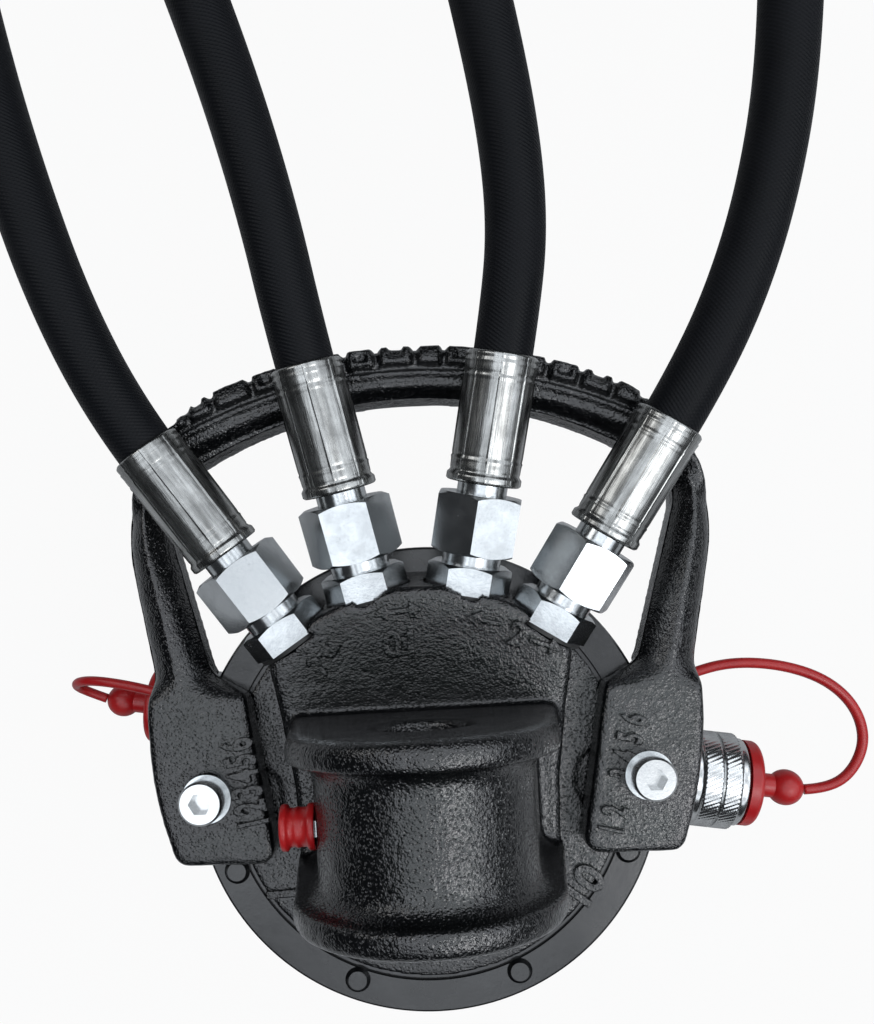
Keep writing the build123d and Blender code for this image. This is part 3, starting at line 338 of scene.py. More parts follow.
def rolled_zinc():
    """Zinc on a crimped ferrule: stained, and drawn into streaks along its length."""
    made, tree, shader, place = finish_base("zinc_rolled", Metallic=1.0)
    unrolled = add(tree, "UVMap", uv_map="unrolled").outputs[0]
    scaled = add(tree, "Mapping", {"Vector": unrolled, "Scale": (0.065, 1.0, 1.0)}).outputs[0]
    parts = add(tree, "SeparateXYZ", {"Vector": scaled})
    drawn = add(tree, "CombineXYZ", {"X": parts.outputs["X"], "Z": parts.outputs["Y"]}).outputs[0]
    streaks = use(tree, "tool_marks", Vector=drawn, Scale=420.0, Stretch=0.12)
    fine = use(tree, "tool_marks", Vector=drawn, Scale=2200.0, Stretch=0.05)
    wear = use(tree, "surface_wear", Vector=place, Patch_Scale=150.0, Speck_Scale=1500.0)
    bands = ramp(tree, streaks.outputs["Scratches"], 0.36, 0.64)
    mask = number(tree, "ADD", number(tree, "MULTIPLY", bands, 0.6),
                  number(tree, "MULTIPLY", wear.outputs["Patches"], 0.4))
    tint(tree, shader, mask, (0.16, 0.162, 0.158), (0.42, 0.425, 0.415))
    gloss(tree, shader, fine.outputs["Scratches"], 0.12, 0.4)
    height = number(tree, "ADD", fine.outputs["Scratches"],
                    number(tree, "MULTIPLY", streaks.outputs["Scratches"], 3.0))
    relief(tree, shader, height, 0.00004)
    return made


def hose_rubber():
    """Black hose cover with the print of its cloth wrap."""
    made, tree, shader, place = finish_base("hose_rubber", Specular_IOR_Level=0.09)
    unrolled = add(tree, "UVMap", uv_map="unrolled").outputs[0]
    wrap = use(tree, "cloth_wrap", Vector=unrolled)
    wear = use(tree, "surface_wear", Vector=place, Patch_Scale=30.0, Speck_Scale=700.0)
    mask = number(tree, "ADD", number(tree, "MULTIPLY", wrap.outputs["Height"], 0.18),
                  number(tree, "MULTIPLY", wear.outputs["Patches"], 0.5))
    tint(tree, shader, mask, (0.0035, 0.004, 0.005), (0.0085, 0.009, 0.011))
    gloss(tree, shader, wear.outputs["Patches"], 0.42, 0.6)
    height = number(tree, "SUBTRACT", wrap.outputs["Height"], wrap.outputs["Lap Edge"])
    relief(tree, shader, height, 0.00004)
    return made


def plain_finish(name, low, high, low_gloss, high_gloss, depth, scale, **uniform):
    """Moulded plastic, rubber or machined metal with a fine even grain."""
    made, tree, shader, place = finish_base(name, **uniform)
    wear = use(tree, "surface_wear", Vector=place, Patch_Scale=80.0, Speck_Scale=1200.0)
    cast = use(tree, "cast_grain", Vector=place, Lump_Scale=scale, Grain_Scale=4 * scale,
               Grain=0.5)
    mask = number(tree, "ADD", number(tree, "MULTIPLY", wear.outputs["Patches"], 0.7),
                  number(tree, "MULTIPLY", wear.outputs["Specks"], 0.3))
    tint(tree, shader, mask, low, high)
    gloss(tree, shader, wear.outputs["Patches"], low_gloss, high_gloss)
    relief(tree, shader, cast.outputs["Height"], depth)
    return made


PAINT_CAST = black_paint("paint_cast", 420.0, 1150.0, 1.0, 0.00026, 0.06, 0.14)
PAINT_GUARD = black_paint("paint_guard", 420.0, 1100.0, 1.0, 0.00024, 0.07, 0.16)
PAINT_TURNED = black_paint("paint_turned", 160.0, 1200.0, 0.3, 0.00006, 0.16, 0.28)
ZINC = zinc("zinc", (0.49, 0.51, 0.52), 0.14, 0.3)
ZINC_BRIGHT = zinc("zinc_bright", (0.55, 0.56, 0.56), 0.12, 0.26)
ZINC_ROLLED = rolled_zinc()
HOSE_RUBBER = hose_rubber()
RED_PLASTIC = plain_finish(
    "red_plastic", (0.31, 0.006, 0.008), (0.38, 0.012, 0.011), 0.3, 0.44, 0.00004, 350.0, IOR=1.46)
DARK_STEEL = plain_finish(
    "dark_steel", (0.07, 0.07, 0.08), (0.13, 0.13, 0.14), 0.3, 0.5, 0.00002, 500.0, Metallic=1.0)
BRONZE = plain_finish(
    "bronze", (0.55, 0.36, 0.15), (0.68, 0.46, 0.2), 0.25, 0.4, 0.00002, 500.0, Metallic=1.0)
SEAL_RUBBER = plain_finish(
    "seal_rubber", (0.012, 0.012, 0.012), (0.03, 0.03, 0.03), 0.5, 0.65, 0.00002, 500.0)
FINISHES = {
    "black_paint": PAINT_TURNED, "black_paint_guard": PAINT_GUARD, "zinc_steel": ZINC,
    "dark_steel": DARK_STEEL, "bronze": BRONZE, "seal_rubber": SEAL_RUBBER,
    "hose_rubber": HOSE_RUBBER, "red_plastic": RED_PLASTIC,
}


# Mesh helpers

def new_piece(name, form, material, body, smooth=True):
    """A piece from a bmesh, with its finish, riding on a body when one is given."""
    mesh = bpy.data.meshes.new(name)
    form.to_mesh(mesh)
    form.free()
    mesh.materials.append(material)
    mesh.polygons.foreach_set("use_smooth", [smooth] * len(mesh.polygons))
    piece = bpy.data.objects.new(name, mesh)
    bpy.context.scene.collection.objects.link(piece)
    if body is not None:
        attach(piece, body)
    return piece


def solid_copy(name):
    """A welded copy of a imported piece's mesh."""
    form = bmesh.new()
    form.from_mesh(nodes[name].data)
    bmesh.ops.remove_doubles(form, verts=form.verts, dist=WELD)
    return form


def cut_level(form, level, keep_above):
    """Cuts a solid at a height, keeps one side and returns the edges of the cut."""
    everything = form.verts[:] + form.edges[:] + form.faces[:]
    cut = bmesh.ops.bisect_plane(
        form, geom=everything, plane_co=(0, 0, level), plane_no=(0, 0, 1),
        clear_inner=keep_above, clear_outer=not keep_above)
    return [item for item in cut["geom_cut"] if isinstance(item, bmesh.types.BMEdge)]


def turned_ring(form, outline, steps=128):
    """Adds a closed (radius, height) outline turned about the third axis."""
    rings = []
    for radius, height in outline:
        if radius < WELD:
            rings.append([form.verts.new((0, 0, height))])
        else:
            rings.append([
                form.verts.new((
                    radius * cos(2 * pi * step / steps), radius * sin(2 * pi * step / steps), height))
                for step in range(steps)])
    for here, there in zip(rings, rings[1:] + rings[:1]):
        for step in range(steps):
            after = (step + 1) % steps
            if len(here) == 1 and len(there) == 1:
                continue
            if len(here) == 1:
                form.faces.new((here[0], there[after], there[step]))
            elif len(there) == 1:
                form.faces.new((here[step], here[after], there[0]))
            else:
                form.faces.new((here[step], here[after], there[after], there[step]))
    return form


def skinned(name, form, voxel, smoothing):
    """A mesh remade in even small faces, as a casting with soft edges."""
    mesh = bpy.data.meshes.new(name)
    form.to_mesh(mesh)
    form.free()
    rough = bpy.data.objects.new(name, mesh)
    bpy.context.scene.collection.objects.link(rough)
    remesh = rough.modifiers.new("remesh", "REMESH")
    remesh.mode = "VOXEL"
    remesh.voxel_size = voxel
    smooth = rough.modifiers.new("smooth", "SMOOTH")
    smooth.factor = 0.5
    smooth.iterations = smoothing
    bpy.context.view_layer.update()
    made = bpy.data.meshes.new_from_object(rough.evaluated_get(bpy.context.evaluated_depsgraph_get()))
    bpy.data.objects.remove(rough)
    bpy.data.meshes.remove(mesh)
    result = bmesh.new()
    result.from_mesh(made)
    bpy.data.meshes.remove(made)
    return result


def lumpy(form, sizes, share=lambda place: 1.0):
    """Moves a casting's surface in and out by noise of several (wavelength, height) sizes."""
    form.normal_update()
    moves = []
    for vertex in form.verts:
        height = sum(noise.noise(vertex.co / length) * depth for length, depth in sizes)
        moves.append(vertex.normal * height * share(vertex.co))
    for vertex, move in zip(form.verts, moves):
        vertex.co += move


def eased(value, low, high):
    """0 below low, 1 above high, and smooth between."""
    share = min(1.0, max(0.0, (value - low) / (high - low)))
    return share * share * (3 - 2 * share)


# Housing casting: the disc with its machined rim, and the cast deck, port block and link eye

def port_axis(place, heading):
    """The centre of a port's spot face, and the direction of its fitting."""
    turn, lift = radians(heading), radians(PORT_RISE)
    normal = Vector((sin(turn) * cos(lift), cos(turn) * cos(lift), sin(lift)))
    centre = Vector((sin(radians(place)), cos(radians(place)), 0)) * PORT_FACE_RADIUS
    return centre + Vector((0, 0, SEAT_Z + PORT_FACE_HEIGHT)), normal


CASTING_VOXEL = 0.0009
PORTS = [port_axis(place, heading) for place, heading in zip(PORT_PLACES, PORT_HEADINGS)]
DECK_Z = SEAT_Z - DECK_DROP
DECK_EDGE = DECK_RADIUS - SEAM_WIDTH / 2
DISC_SPLIT = SEAT_Z - RIM_THICKNESS / 2


def housing_disc():
    """The machined disc: underside with its seats, rim, seam groove and screw circle."""
    form = solid_copy("stator_casting")
    cut_level(form, DISC_SPLIT, keep_above=False)
    edge = 0.0008
    lip = 0.0003
    outer = STATOR_RADIUS
    inner = DECK_RADIUS + SEAM_WIDTH / 2
    hidden = DECK_EDGE - 0.003
    turned_ring(form, [
        (hidden, DISC_SPLIT), (outer, DISC_SPLIT), (outer, SEAT_Z - edge),
        (outer - 0.3 * edge, SEAT_Z - 0.35 * edge), (outer - edge, SEAT_Z),
        (inner + lip, SEAT_Z), (inner, SEAT_Z - lip), (inner, SEAT_Z - SEAM_DEPTH),
        (hidden, SEAT_Z - SEAM_DEPTH)], steps=192)
    return new_piece("housing_disc", form, PAINT_TURNED, "stator", smooth=False)


def cast_share(place):
    """How rough the casting is: plain in the bore, on the eye's faces and in the spot faces."""
    bore_edge = 0.0022
    if hypot(place.x, place.z - EYE_Z) < LINK_BORE_RADIUS + bore_edge:
        return 0.0
    share = 1.0 - 0.75 * eased(abs(place.y), EYE_HALF_LENGTH - 0.0012, EYE_HALF_LENGTH - 0.0004)
    if place.z < SEAT_Z + BLOCK_LEVEL + 0.003:
        share = 1.0
    for centre, normal in PORTS:
        away = place - centre
        along = away.dot(normal)
        if -0.0012 < along and (away - normal * along).length < SPOT_FACE_RADIUS + 0.0004:
            return 0.0
    return share


def housing_casting():
    """The cast deck, port block and eye, with edges softened by their thick paint."""
    form = solid_copy("stator_casting")
    cut_z = SEAT_Z + 0.00005
    foot_depth = 0.0022
    cut = cut_level(form, cut_z, keep_above=True)
    foot = bmesh.ops.extrude_edge_only(form, edges=cut)["geom"]
    for vertex in (item for item in foot if isinstance(item, bmesh.types.BMVert)):
        vertex.co.z -= foot_depth
    rims = [item for item in foot if isinstance(item, bmesh.types.BMEdge)
            and all(abs(vertex.co.z - cut_z + foot_depth) < WELD * 10 for vertex in item.verts)]
    bmesh.ops.triangle_fill(form, use_beauty=True, edges=rims)
    skin = 0.0001
    lip = 0.0003
    turned_ring(form, [
        (0, DISC_SPLIT - 0.002), (DECK_EDGE + skin, DISC_SPLIT - 0.002),
        (DECK_EDGE + skin, DECK_Z - lip), (DECK_EDGE - lip, DECK_Z + skin), (0, DECK_Z + skin)])
    bmesh.ops.recalc_face_normals(form, faces=form.faces)
    form = skinned("housing_casting", form, CASTING_VOXEL, 3)
    soft = 0.0004
    for vertex in form.verts:
        place = vertex.co
        for x, y in DECK_SPOTS:
            reach = hypot(place.x - x, place.y - y)
            if abs(place.z - DECK_Z) < 0.0006:
                depth = 1 - eased(reach, DECK_SPOT_RADIUS - soft, DECK_SPOT_RADIUS + soft)
                vertex.co.z -= DECK_SPOT_DEPTH * depth
    lumpy(form, [(0.009, 0.00017), (0.0034, 0.00008)], cast_share)
    return new_piece("housing_casting", form, PAINT_CAST, "stator")


housing_disc()
casting = housing_casting()
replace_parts(casting, "stator_casting")


# Hose guard: bail and foot plates, with the arch's moulded band

GUARD_VOXEL = 0.00075
LEG_START = 0.031
LEG_CROWN = 0.0072
LEG_CROWN_WIDTH = 0.0108
ARCH_START = 0.07
ARCH_OUTER = 0.165
ARCH_CENTRE_Y = 0.134 - ARCH_OUTER
ARCH_WIDTH = 0.0148

# The arch's moulded band, as the way in from its outer edge in metres and the level there in
# millimetres from the top, the angles to each side where it starts to fade and is gone, and the
# lengths, gaps, height and soft edge of its raised pads in millimetres
ARCH_BAND = [(-0.001, -3.0), (0.0, -2.8), (0.0052, -1.7), (0.0061, -2.7), (0.0067, -2.7),
             (0.0074, -0.3), (0.0086, -0.2), (0.0095, -1.5), (0.0103, -1.7), (0.0112, -1.2),
             (0.013, -2.2), (0.0148, -4.0)]
BAND_FADES = 31.0
BAND_GONE = 36.0
ARCH_PADS = [9.0, 7.0, 11.0, 8.0, 6.5, 9.5, 8.0, 10.0, 7.0, 9.0, 11.0, 6.5, 8.5, 9.0, 7.5, 10.0]
PAD_GAP = 2.0
PAD_HEIGHT = 2.0
PAD_EDGE = 0.6


def band_height(inward):
    """The level of the arch's moulded band by the way in, in millimetres from the top."""
    for (here, low), (there, high) in zip(ARCH_BAND, ARCH_BAND[1:]):
        if inward <= there:
            return low + (high - low) * max(0.0, (inward - here) / (there - here))
    return ARCH_BAND[-1][1]


def pad_mask(along, inward):
    """Where the raised pads stand along the arch's outer band, from 0 to 1."""
    if inward > 0.0062:
        return 0.0
    start = -sum(ARCH_PADS) / 2 - PAD_GAP * (len(ARCH_PADS) - 1) / 2
    for index, length in enumerate(ARCH_PADS):
        middle = start + length / 2
        start += length + PAD_GAP
        off = abs(along / MM - middle)
        if off < length / 2 + PAD_EDGE:
            mask = 1 - eased(off, length / 2 - PAD_EDGE, length / 2 + PAD_EDGE)
            mask *= 1 - eased(inward / MM, 4.6, 5.8)
            hollow = 1 - eased(off, length / 6, length / 6 + 0.9)
            if index % 3 == 0:
                mask *= 1 - 0.8 * hollow * eased(inward / MM, 1.2, 2.0) * (
                    1 - eased(inward / MM, 3.2, 4.0))
            elif index % 3 == 1:
                mask *= 1 - 0.8 * hollow * (1 - eased(inward / MM, 2.2, 3.2))
            return mask
    return 0.0


def shape_arch(form):
    """Moulds the band, its grooves and its pads into the top of the arch."""
    turn = Matrix.Rotation(radians(-GUARD_TURN), 3, "Z")
    for vertex in form.verts:
        place = turn @ vertex.co
        if place.y < ARCH_START:
            continue
        out = Vector((place.x, place.y - ARCH_CENTRE_Y, 0))
        inward = ARCH_OUTER - out.length
        angle = atan2(out.x, out.y)
        reach = 1 - eased(abs(angle), radians(BAND_FADES), radians(BAND_GONE))
        if reach <= 0 or inward > ARCH_WIDTH + 0.002:
            continue
        deep = eased(place.z, GUARD_TOP - 0.007, GUARD_TOP - 0.0005)
        pad = pad_mask(angle * ARCH_OUTER, max(inward, 0.0))
        level = band_height(inward) + PAD_HEIGHT * pad
        vertex.co.z += reach * deep * level * MM
        if inward < 0.0012:
            side = Matrix.Rotation(radians(GUARD_TURN), 3, "Z") @ out.normalized()
            vertex.co += side * reach * deep * (pad - 0.3) * 0.0009


def round_legs(form):
    """Crowns the legs between the foot plates and the arch, which are flat in the solid."""
    turn = Matrix.Rotation(radians(-GUARD_TURN), 3, "Z")
    level = GUARD_TOP - 0.006
    walls = [vertex.co for vertex in form.verts if abs(vertex.co.z - level) < 0.0006]
    tree = kdtree.KDTree(len(walls))
    for index, place in enumerate(walls):
        tree.insert((place.x, place.y, 0), index)
    tree.balance()
    for vertex in form.verts:
        place = turn @ vertex.co
        out = Vector((place.x, place.y - ARCH_CENTRE_Y, 0))
        share = eased(place.y, LEG_START - 0.004, LEG_START + 0.005)
        share *= eased(ARCH_OUTER - out.length, ARCH_WIDTH - 0.004, ARCH_WIDTH + 0.006)
        share *= eased(place.z, GUARD_TOP - 0.009, GUARD_TOP - 0.001)
        if share <= 0:
            continue
        _, _, reach = tree.find((vertex.co.x, vertex.co.y, 0))
        edge = 1 - min(1.0, reach / LEG_CROWN_WIDTH)
        vertex.co.z -= share * LEG_CROWN * edge ** 2


def guard_share(place):
    """Plain under the screws' washers and on the underside, rough elsewhere."""
    if min(hypot(place.x - side * GUARD_SCREW_X, place.y) for side in (1, -1)) < WASHER_REACH:
        return 0.15
    return 1.0 if place.z > SEAT_Z + 0.0005 else 0.2


def hose_guard():
    """The guard casting."""
    form = skinned("guard_casting", solid_copy("hose_guard"), GUARD_VOXEL, 3)
    round_legs(form)
    shape_arch(form)
    lumpy(form, [(0.007, 0.0002), (0.0026, 0.00008)], guard_share)
    return new_piece("guard_casting", form, PAINT_GUARD, "stator")


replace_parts(hose_guard(), "hose_guard")


# Raised marks of the castings: plain numerals and arrows

MARK_VOXEL = 0.0003
MARK_DEPTH = 0.0015
FAINT_DEPTH = 0.7 * MARK_DEPTH
GUARD_MARK_DEPTH = 0.0016


def soft_marks(name, form, material):
    """Marks on the housing or the guard with the melted edges of cast letters."""
    form = skinned(name, form, MARK_VOXEL, 2)
    lumpy(form, [(0.003, 0.0001)])
    new_piece(name, form, material, "stator")


def add_numerals(form, words, size, place, depth, narrow=1.0):
    """Adds numerals, centred on a place, that reach depth above and below its plane."""
    curve = bpy.data.curves.new("numerals", "FONT")
    curve.body = words
    curve.size = size
    curve.align_x = "CENTER"
    curve.align_y = "CENTER"
    curve.extrude = depth
    curve.offset = 0.045 * size
    curve.resolution_u = 4
    holder = bpy.data.objects.new("numerals", curve)
    bpy.context.scene.collection.objects.link(holder)
    bpy.context.view_layer.update()
    mesh = bpy.data.meshes.new_from_object(
        holder.evaluated_get(bpy.context.evaluated_depsgraph_get()))
    mesh.transform(place @ Matrix.Diagonal((narrow, 1, 1, 1)))
    form.from_mesh(mesh)
    bpy.data.meshes.remove(mesh)
    bpy.data.objects.remove(holder)
    bpy.data.curves.remove(curve)


def add_plate(form, outline, place, depth):
    """Adds a flat mark with a polygon outline, depth above and below its plane."""
    low = [form.verts.new(place @ Vector((x, y, -depth))) for x, y in outline]
    high = [form.verts.new(place @ Vector((x, y, depth))) for x, y in outline]
    form.faces.new(low[::-1])
    form.faces.new(high)
    for index in range(len(outline)):
        after = (index + 1) % len(outline)
        form.faces.new((low[index], low[after], high[after], high[index]))


def arrow(length, two_heads):
    """Outline of an arrow that points along +x."""
    half, head, wide, bar = length / 2, 0.0042, 0.0028, 0.0008
    outline = [(half, 0), (half - head, wide), (half - head, bar)]
    if two_heads:
        outline += [(head - half, bar), (head - half, wide), (-half, 0), (head - half, -wide),
                    (head - half, -bar)]
    else:
        outline += [(-half, bar), (-half, -bar)]
    return outline + [(half - head, -bar), (half - head, -wide)]


def level_place(x, y, z, turn, tilt=0.0):
    """A place on a level or tilted surface, turned about its own normal."""
    return (Matrix.Translation((x, y, z)) @ Matrix.Rotation(radians(tilt), 4, "X")
            @ Matrix.Rotation(radians(turn), 4, "Z"))


def cast_place(x, y, turn, tilt=0.0):
    """A place on the housing casting's top, at the level that its skin has there."""
    _, place, _, _ = casting.ray_cast((x, y, EYE_Z * 2), (0, 0, -1))
    return level_place(x, y, place.z, turn, tilt)


def pad_place(x, y, turn):
    """A place on the port block's slope."""
    return cast_place(x, y, turn, PORT_RISE)


def casting_marks():
    """Numerals and arrows on the port block and the deck."""
    form = bmesh.new()
    bpy.context.view_layer.update()
    add_plate(form, arrow(0.0145, True), pad_place(-0.0056, 0.0535, 3), MARK_DEPTH)
    add_numerals(form, "01", 0.0108, pad_place(-0.0053, 0.0438, 0), MARK_DEPTH)
    add_plate(form, arrow(0.0105, False), pad_place(0.0187, 0.0495, 165), MARK_DEPTH)
    add_numerals(form, "2", 0.0098, pad_place(0.0282, 0.0447, -18), MARK_DEPTH)
    add_plate(form, arrow(0.0105, False), pad_place(0.0366, 0.0415, -20), MARK_DEPTH)
    add_numerals(form, "3", 0.0098, pad_place(-0.0300, 0.0375, 24), FAINT_DEPTH)
    add_plate(form, arrow(0.009, True), pad_place(-0.0262, 0.0435, 22), FAINT_DEPTH)
    add_numerals(form, "10", 0.0135, cast_place(0.0474, -0.0367, 52), MARK_DEPTH)
    add_numerals(form, "1", 0.0135, cast_place(-0.0485, -0.0335, -88), MARK_DEPTH)
    soft_marks("casting_marks", form, PAINT_CAST)


def guard_marks():
    """A row of numerals on the inner half of each foot plate."""
    form = bmesh.new()
    top = GUARD_TOP + 0.0001
    for (x0, y0), (x1, y1), words, size in (
            ((-0.0528, -0.0080), (-0.0566, 0.0158), "123456", 0.0132),
            ((0.0550, -0.0160), (0.0636, 0.0170), "12 3456", 0.0108)):
        lean = atan2(y1 - y0, x1 - x0)
        for index, word in enumerate(words):
            share = index / (len(words) - 1)
            place = level_place(
                x0 + (x1 - x0) * share, y0 + (y1 - y0) * share, top, degrees(lean))
            if word != " ":
                add_numerals(form, word, size, place, GUARD_MARK_DEPTH, narrow=0.6)
    soft_marks("guard_marks", form, PAINT_GUARD)


casting_marks()
guard_marks()


# Hoses and lanyards

def cord_line(name, points):
    """The points of a smooth line through a route."""
    curve = bpy.data.curves.new(name, "CURVE")
    curve.dimensions = "3D"
    curve.resolution_u = 16
    spline = curve.splines.new("NURBS")
    spline.points.add(len(points) - 1)
    for point, place in zip(spline.points, points):
        point.co = (*place, 1)
    spline.order_u = 3
    spline.use_endpoint_u = True
    holder = bpy.data.objects.new(name, curve)
    bpy.context.scene.collection.objects.link(holder)
    bpy.context.view_layer.update()
    mesh = bpy.data.meshes.new_from_object(
        holder.evaluated_get(bpy.context.evaluated_depsgraph_get()))
    line = [vertex.co.copy() for vertex in mesh.vertices]
    bpy.data.meshes.remove(mesh)
    bpy.data.objects.remove(holder)
    bpy.data.curves.remove(curve)
    return [place for index, place in enumerate(line)
            if index == 0 or (place - line[index - 1]).length > WELD]


def cord_tube(name, line, radius, around=36):
    """A round tube along a line, unrolled as (turn, way along in metres)."""
    form = bmesh.new()
    unrolled = form.loops.layers.uv.new("unrolled")
    heading = (line[1] - line[0]).normalized()
    side = heading.orthogonal().normalized()
    rings, ways, way = [], [], 0.0
    for index, place in enumerate(line):
        ahead = line[min(index + 1, len(line) - 1)] - line[max(index - 1, 0)]
        turn = heading.rotation_difference(ahead.normalized())
        heading = ahead.normalized()
        side = (turn @ side).normalized()
        up = heading.cross(side)
        way += (place - line[max(index - 1, 0)]).length
        ways.append(way)
        rings.append([
            form.verts.new(place + (side * cos(2 * pi * step / around)
                                    + up * sin(2 * pi * step / around)) * radius)
            for step in range(around)])
    for index, (here, there) in enumerate(zip(rings, rings[1:])):
        for step in range(around):
            after = (step + 1) % around
            face = form.faces.new((here[step], here[after], there[after], there[step]))
            corners = ((step, index), (step + 1, index), (step + 1, index + 1), (step, index + 1))
            for loop, (turn, row) in zip(face.loops, corners):
                loop[unrolled].uv = (turn / around, ways[row])
    form.faces.new(rings[0][::-1])
    form.faces.new(rings[-1])
    return form


def hose(index):
    """One pressure hose, from inside its ferrule at the port to inside the one at its free end."""
    origin, normal = PORTS[index]
    start = origin + normal * (FERRULE_END - HOSE_SOCKET_DEPTH)
    bend = origin + normal * (FERRULE_END + 2 * HOSE_SOCKET_DEPTH)
    line = cord_line(f"hose_line_{index + 1}", [start, bend] + HOSE_ROUTES[index])
    form = cord_tube(f"pressure_hose_{index + 1}", line, HOSE_RADIUS)
    piece = new_piece(f"pressure_hose_{index + 1}", form, HOSE_RUBBER, "stator")
    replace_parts(piece, f"hose_{index + 1}")


def side_place(side):
    """The frame of a rotor side port: its face's centre, with z along the coupling."""
    turn, reach, level = SIDE_FACES[side]
    angle = radians(turn - ROTOR_TURN)
    out = Vector((sin(angle), cos(angle), 0))
    across = Vector((0, 0, 1)).cross(out)
    return Matrix.Translation(out * reach + Vector((0, 0, level))) @ Matrix((
        (across.x, 0, out.x, 0), (across.y, 0, out.y, 0), (0, 1, 0, 0), (0, 0, 0, 1)))


def lanyard(side):
    """The strap that ties a dust plug to its coupling."""
    place = side_place(side)
    ring = (STRAP_RING_SIDE, 0, STRAP_RING_MIDDLE)
    landing = ring if side == "right" else (0, STRAP_RING_SIDE, STRAP_RING_MIDDLE)
    route = [(0, 0, BALL_TOP)] + LANYARD_ROUTES[side] + [landing]
    line = cord_line(f"lanyard_line_{side}", [place @ Vector(point) for point in route])
    form = cord_tube(f"plug_lanyard_{side}", line, STRAP_RADIUS, around=20)
    piece = new_piece(f"plug_lanyard_{side}", form, RED_PLASTIC, None)
    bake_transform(piece)
    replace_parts(piece, f"lanyard_{side}")


for index in range(len(PORTS)):
    hose(index)
for side in SIDE_FACES:
    lanyard(side)


# Turned pieces with their crimps and knurls

def shaped_turning(name, outline, swell, place, steps, material, body):
    """A turned piece whose radius also varies by its angle and height, unrolled for its finish."""
    form = turned_ring(bmesh.new(), outline, steps=steps)
    unrolled = form.loops.layers.uv.new("unrolled")
    for face in form.faces:
        turns = [atan2(loop.vert.co.y, loop.vert.co.x) / (2 * pi) for loop in face.loops]
        wraps = max(turns) - min(turns) > 0.5
        for loop, turn in zip(face.loops, turns):
            loop[unrolled].uv = (turn + 1 if wraps and turn < 0 else turn, loop.vert.co.z)
    for vertex in form.verts:
        radius = hypot(vertex.co.x, vertex.co.y)
        if radius > WELD:
            grown = swell(atan2(vertex.co.y, vertex.co.x), vertex.co.z, radius)
            vertex.co.x *= 1 + grown / radius
            vertex.co.y *= 1 + grown / radius
    bmesh.ops.recalc_face_normals(form, faces=form.faces)
    bmesh.ops.transform(form, matrix=place, verts=form.verts)
    return new_piece(name, form, material, body)


def filled_rows(outline, spacing):
    """An outline with more points along its straight parts."""
    rows = []
    for (radius, height), (next_radius, next_height) in zip(outline, outline[1:] + outline[:1]):
        parts = max(1, round(hypot(next_radius - radius, next_height - height) / spacing))
        for step in range(parts):
            share = step / parts
            rows.append((radius + (next_radius - radius) * share,
                         height + (next_height - height) * share))
    return rows


def axis_place(origin, direction):
    """A place with z along a direction."""
    return Matrix.Translation(origin) @ direction.to_track_quat("Z", "Y").to_matrix().to_4x4()


def ferrule_swell(angle, height, radius):
    """Eight crimped segments with thin fins between them, and ring lines near both ends."""
    if radius < SOCKET_BORE + 0.0008:
        return 0.0
    step = 2 * pi / FERRULE_SEGMENTS
    off = abs((angle + step / 2) % step - step / 2)
    along = height - FERRULE_START
    length = FERRULE_END - FERRULE_START
    crimp = eased(along, 0.004, 0.0075) * (1 - eased(along, length - 0.0075, length - 0.004))
    fin = exp(-(off / FIN_WIDTH) ** 2) * (0.5 + 0.5 * crimp)
    facet = ((step / 2 - off) / (step / 2)) ** 2
    grown = FIN_HEIGHT * fin + crimp * (0.0001 * facet - CRIMP_DEPTH)
    for ring in FERRULE_RINGS:
        grown += 0.0002 * exp(-((along - ring) / 0.00035) ** 2)
        grown -= 0.00016 * exp(-((along - ring - 0.0006) / 0.0004) ** 2)
    return grown


def crimped_ferrules():
    """The ferrules at the ports."""
    edge = 0.0005
    outline = [
        (STEM_BORE, FERRULE_START), (FERRULE_COLLAR - edge, FERRULE_START),
        (FERRULE_COLLAR, FERRULE_START + edge), (FERRULE_COLLAR, FERRULE_START + 0.002),
        (FERRULE_RADIUS, FERRULE_START + 0.0028), (FERRULE_RADIUS, FERRULE_END - edge),
        (FERRULE_RADIUS - edge, FERRULE_END), (SOCKET_BORE, FERRULE_END),
        (SOCKET_BORE, FERRULE_END - HOSE_SOCKET_DEPTH), (STEM_BORE, FERRULE_END - HOSE_SOCKET_DEPTH)]
    for index, (origin, normal) in enumerate(PORTS, start=1):
        piece = shaped_turning(
            f"crimped_ferrule_{index}", filled_rows(outline, 0.0005), ferrule_swell,
            axis_place(origin, normal), 200, ZINC_ROLLED, "stator")
        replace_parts(piece, f"ferrule_{index}")


def knurl_swell(angle, height, radius):
    """Slanting knurls on the two bands of a sleeve."""
    if radius < KNURL_RADIUS - WELD:
        return 0.0
    wave = sin(KNURLS_AROUND * angle + height * KNURL_SLANT)
    return KNURL_HEIGHT * (0.5 * wave - 0.5)


def knurled_sleeves():
    """The sliding sleeves of the two quick couplings."""
    for side in SIDE_FACES:
        piece = shaped_turning(
            f"knurled_sleeve_{side}", filled_rows(SLEEVE_OUTLINE, 0.0008), knurl_swell,
            side_place(side), 320, ZINC_BRIGHT, f"sleeve_{side}")
        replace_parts(piece, f"coupling_sleeve_{side}")


def ribbed_cap():
    """The ribbed plastic cap on the grease nipple."""
    piece = shaped_turning(
        "ribbed_cap", CAP_OUTLINE, lambda angle, height, radius: 0.0,
        axis_place(CAP_PLACE, Vector((-1, 0, 0))), 64, RED_PLASTIC, "grease_cap")
    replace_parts(piece, "grease_cap")


crimped_ferrules()
knurled_sleeves()
ribbed_cap()


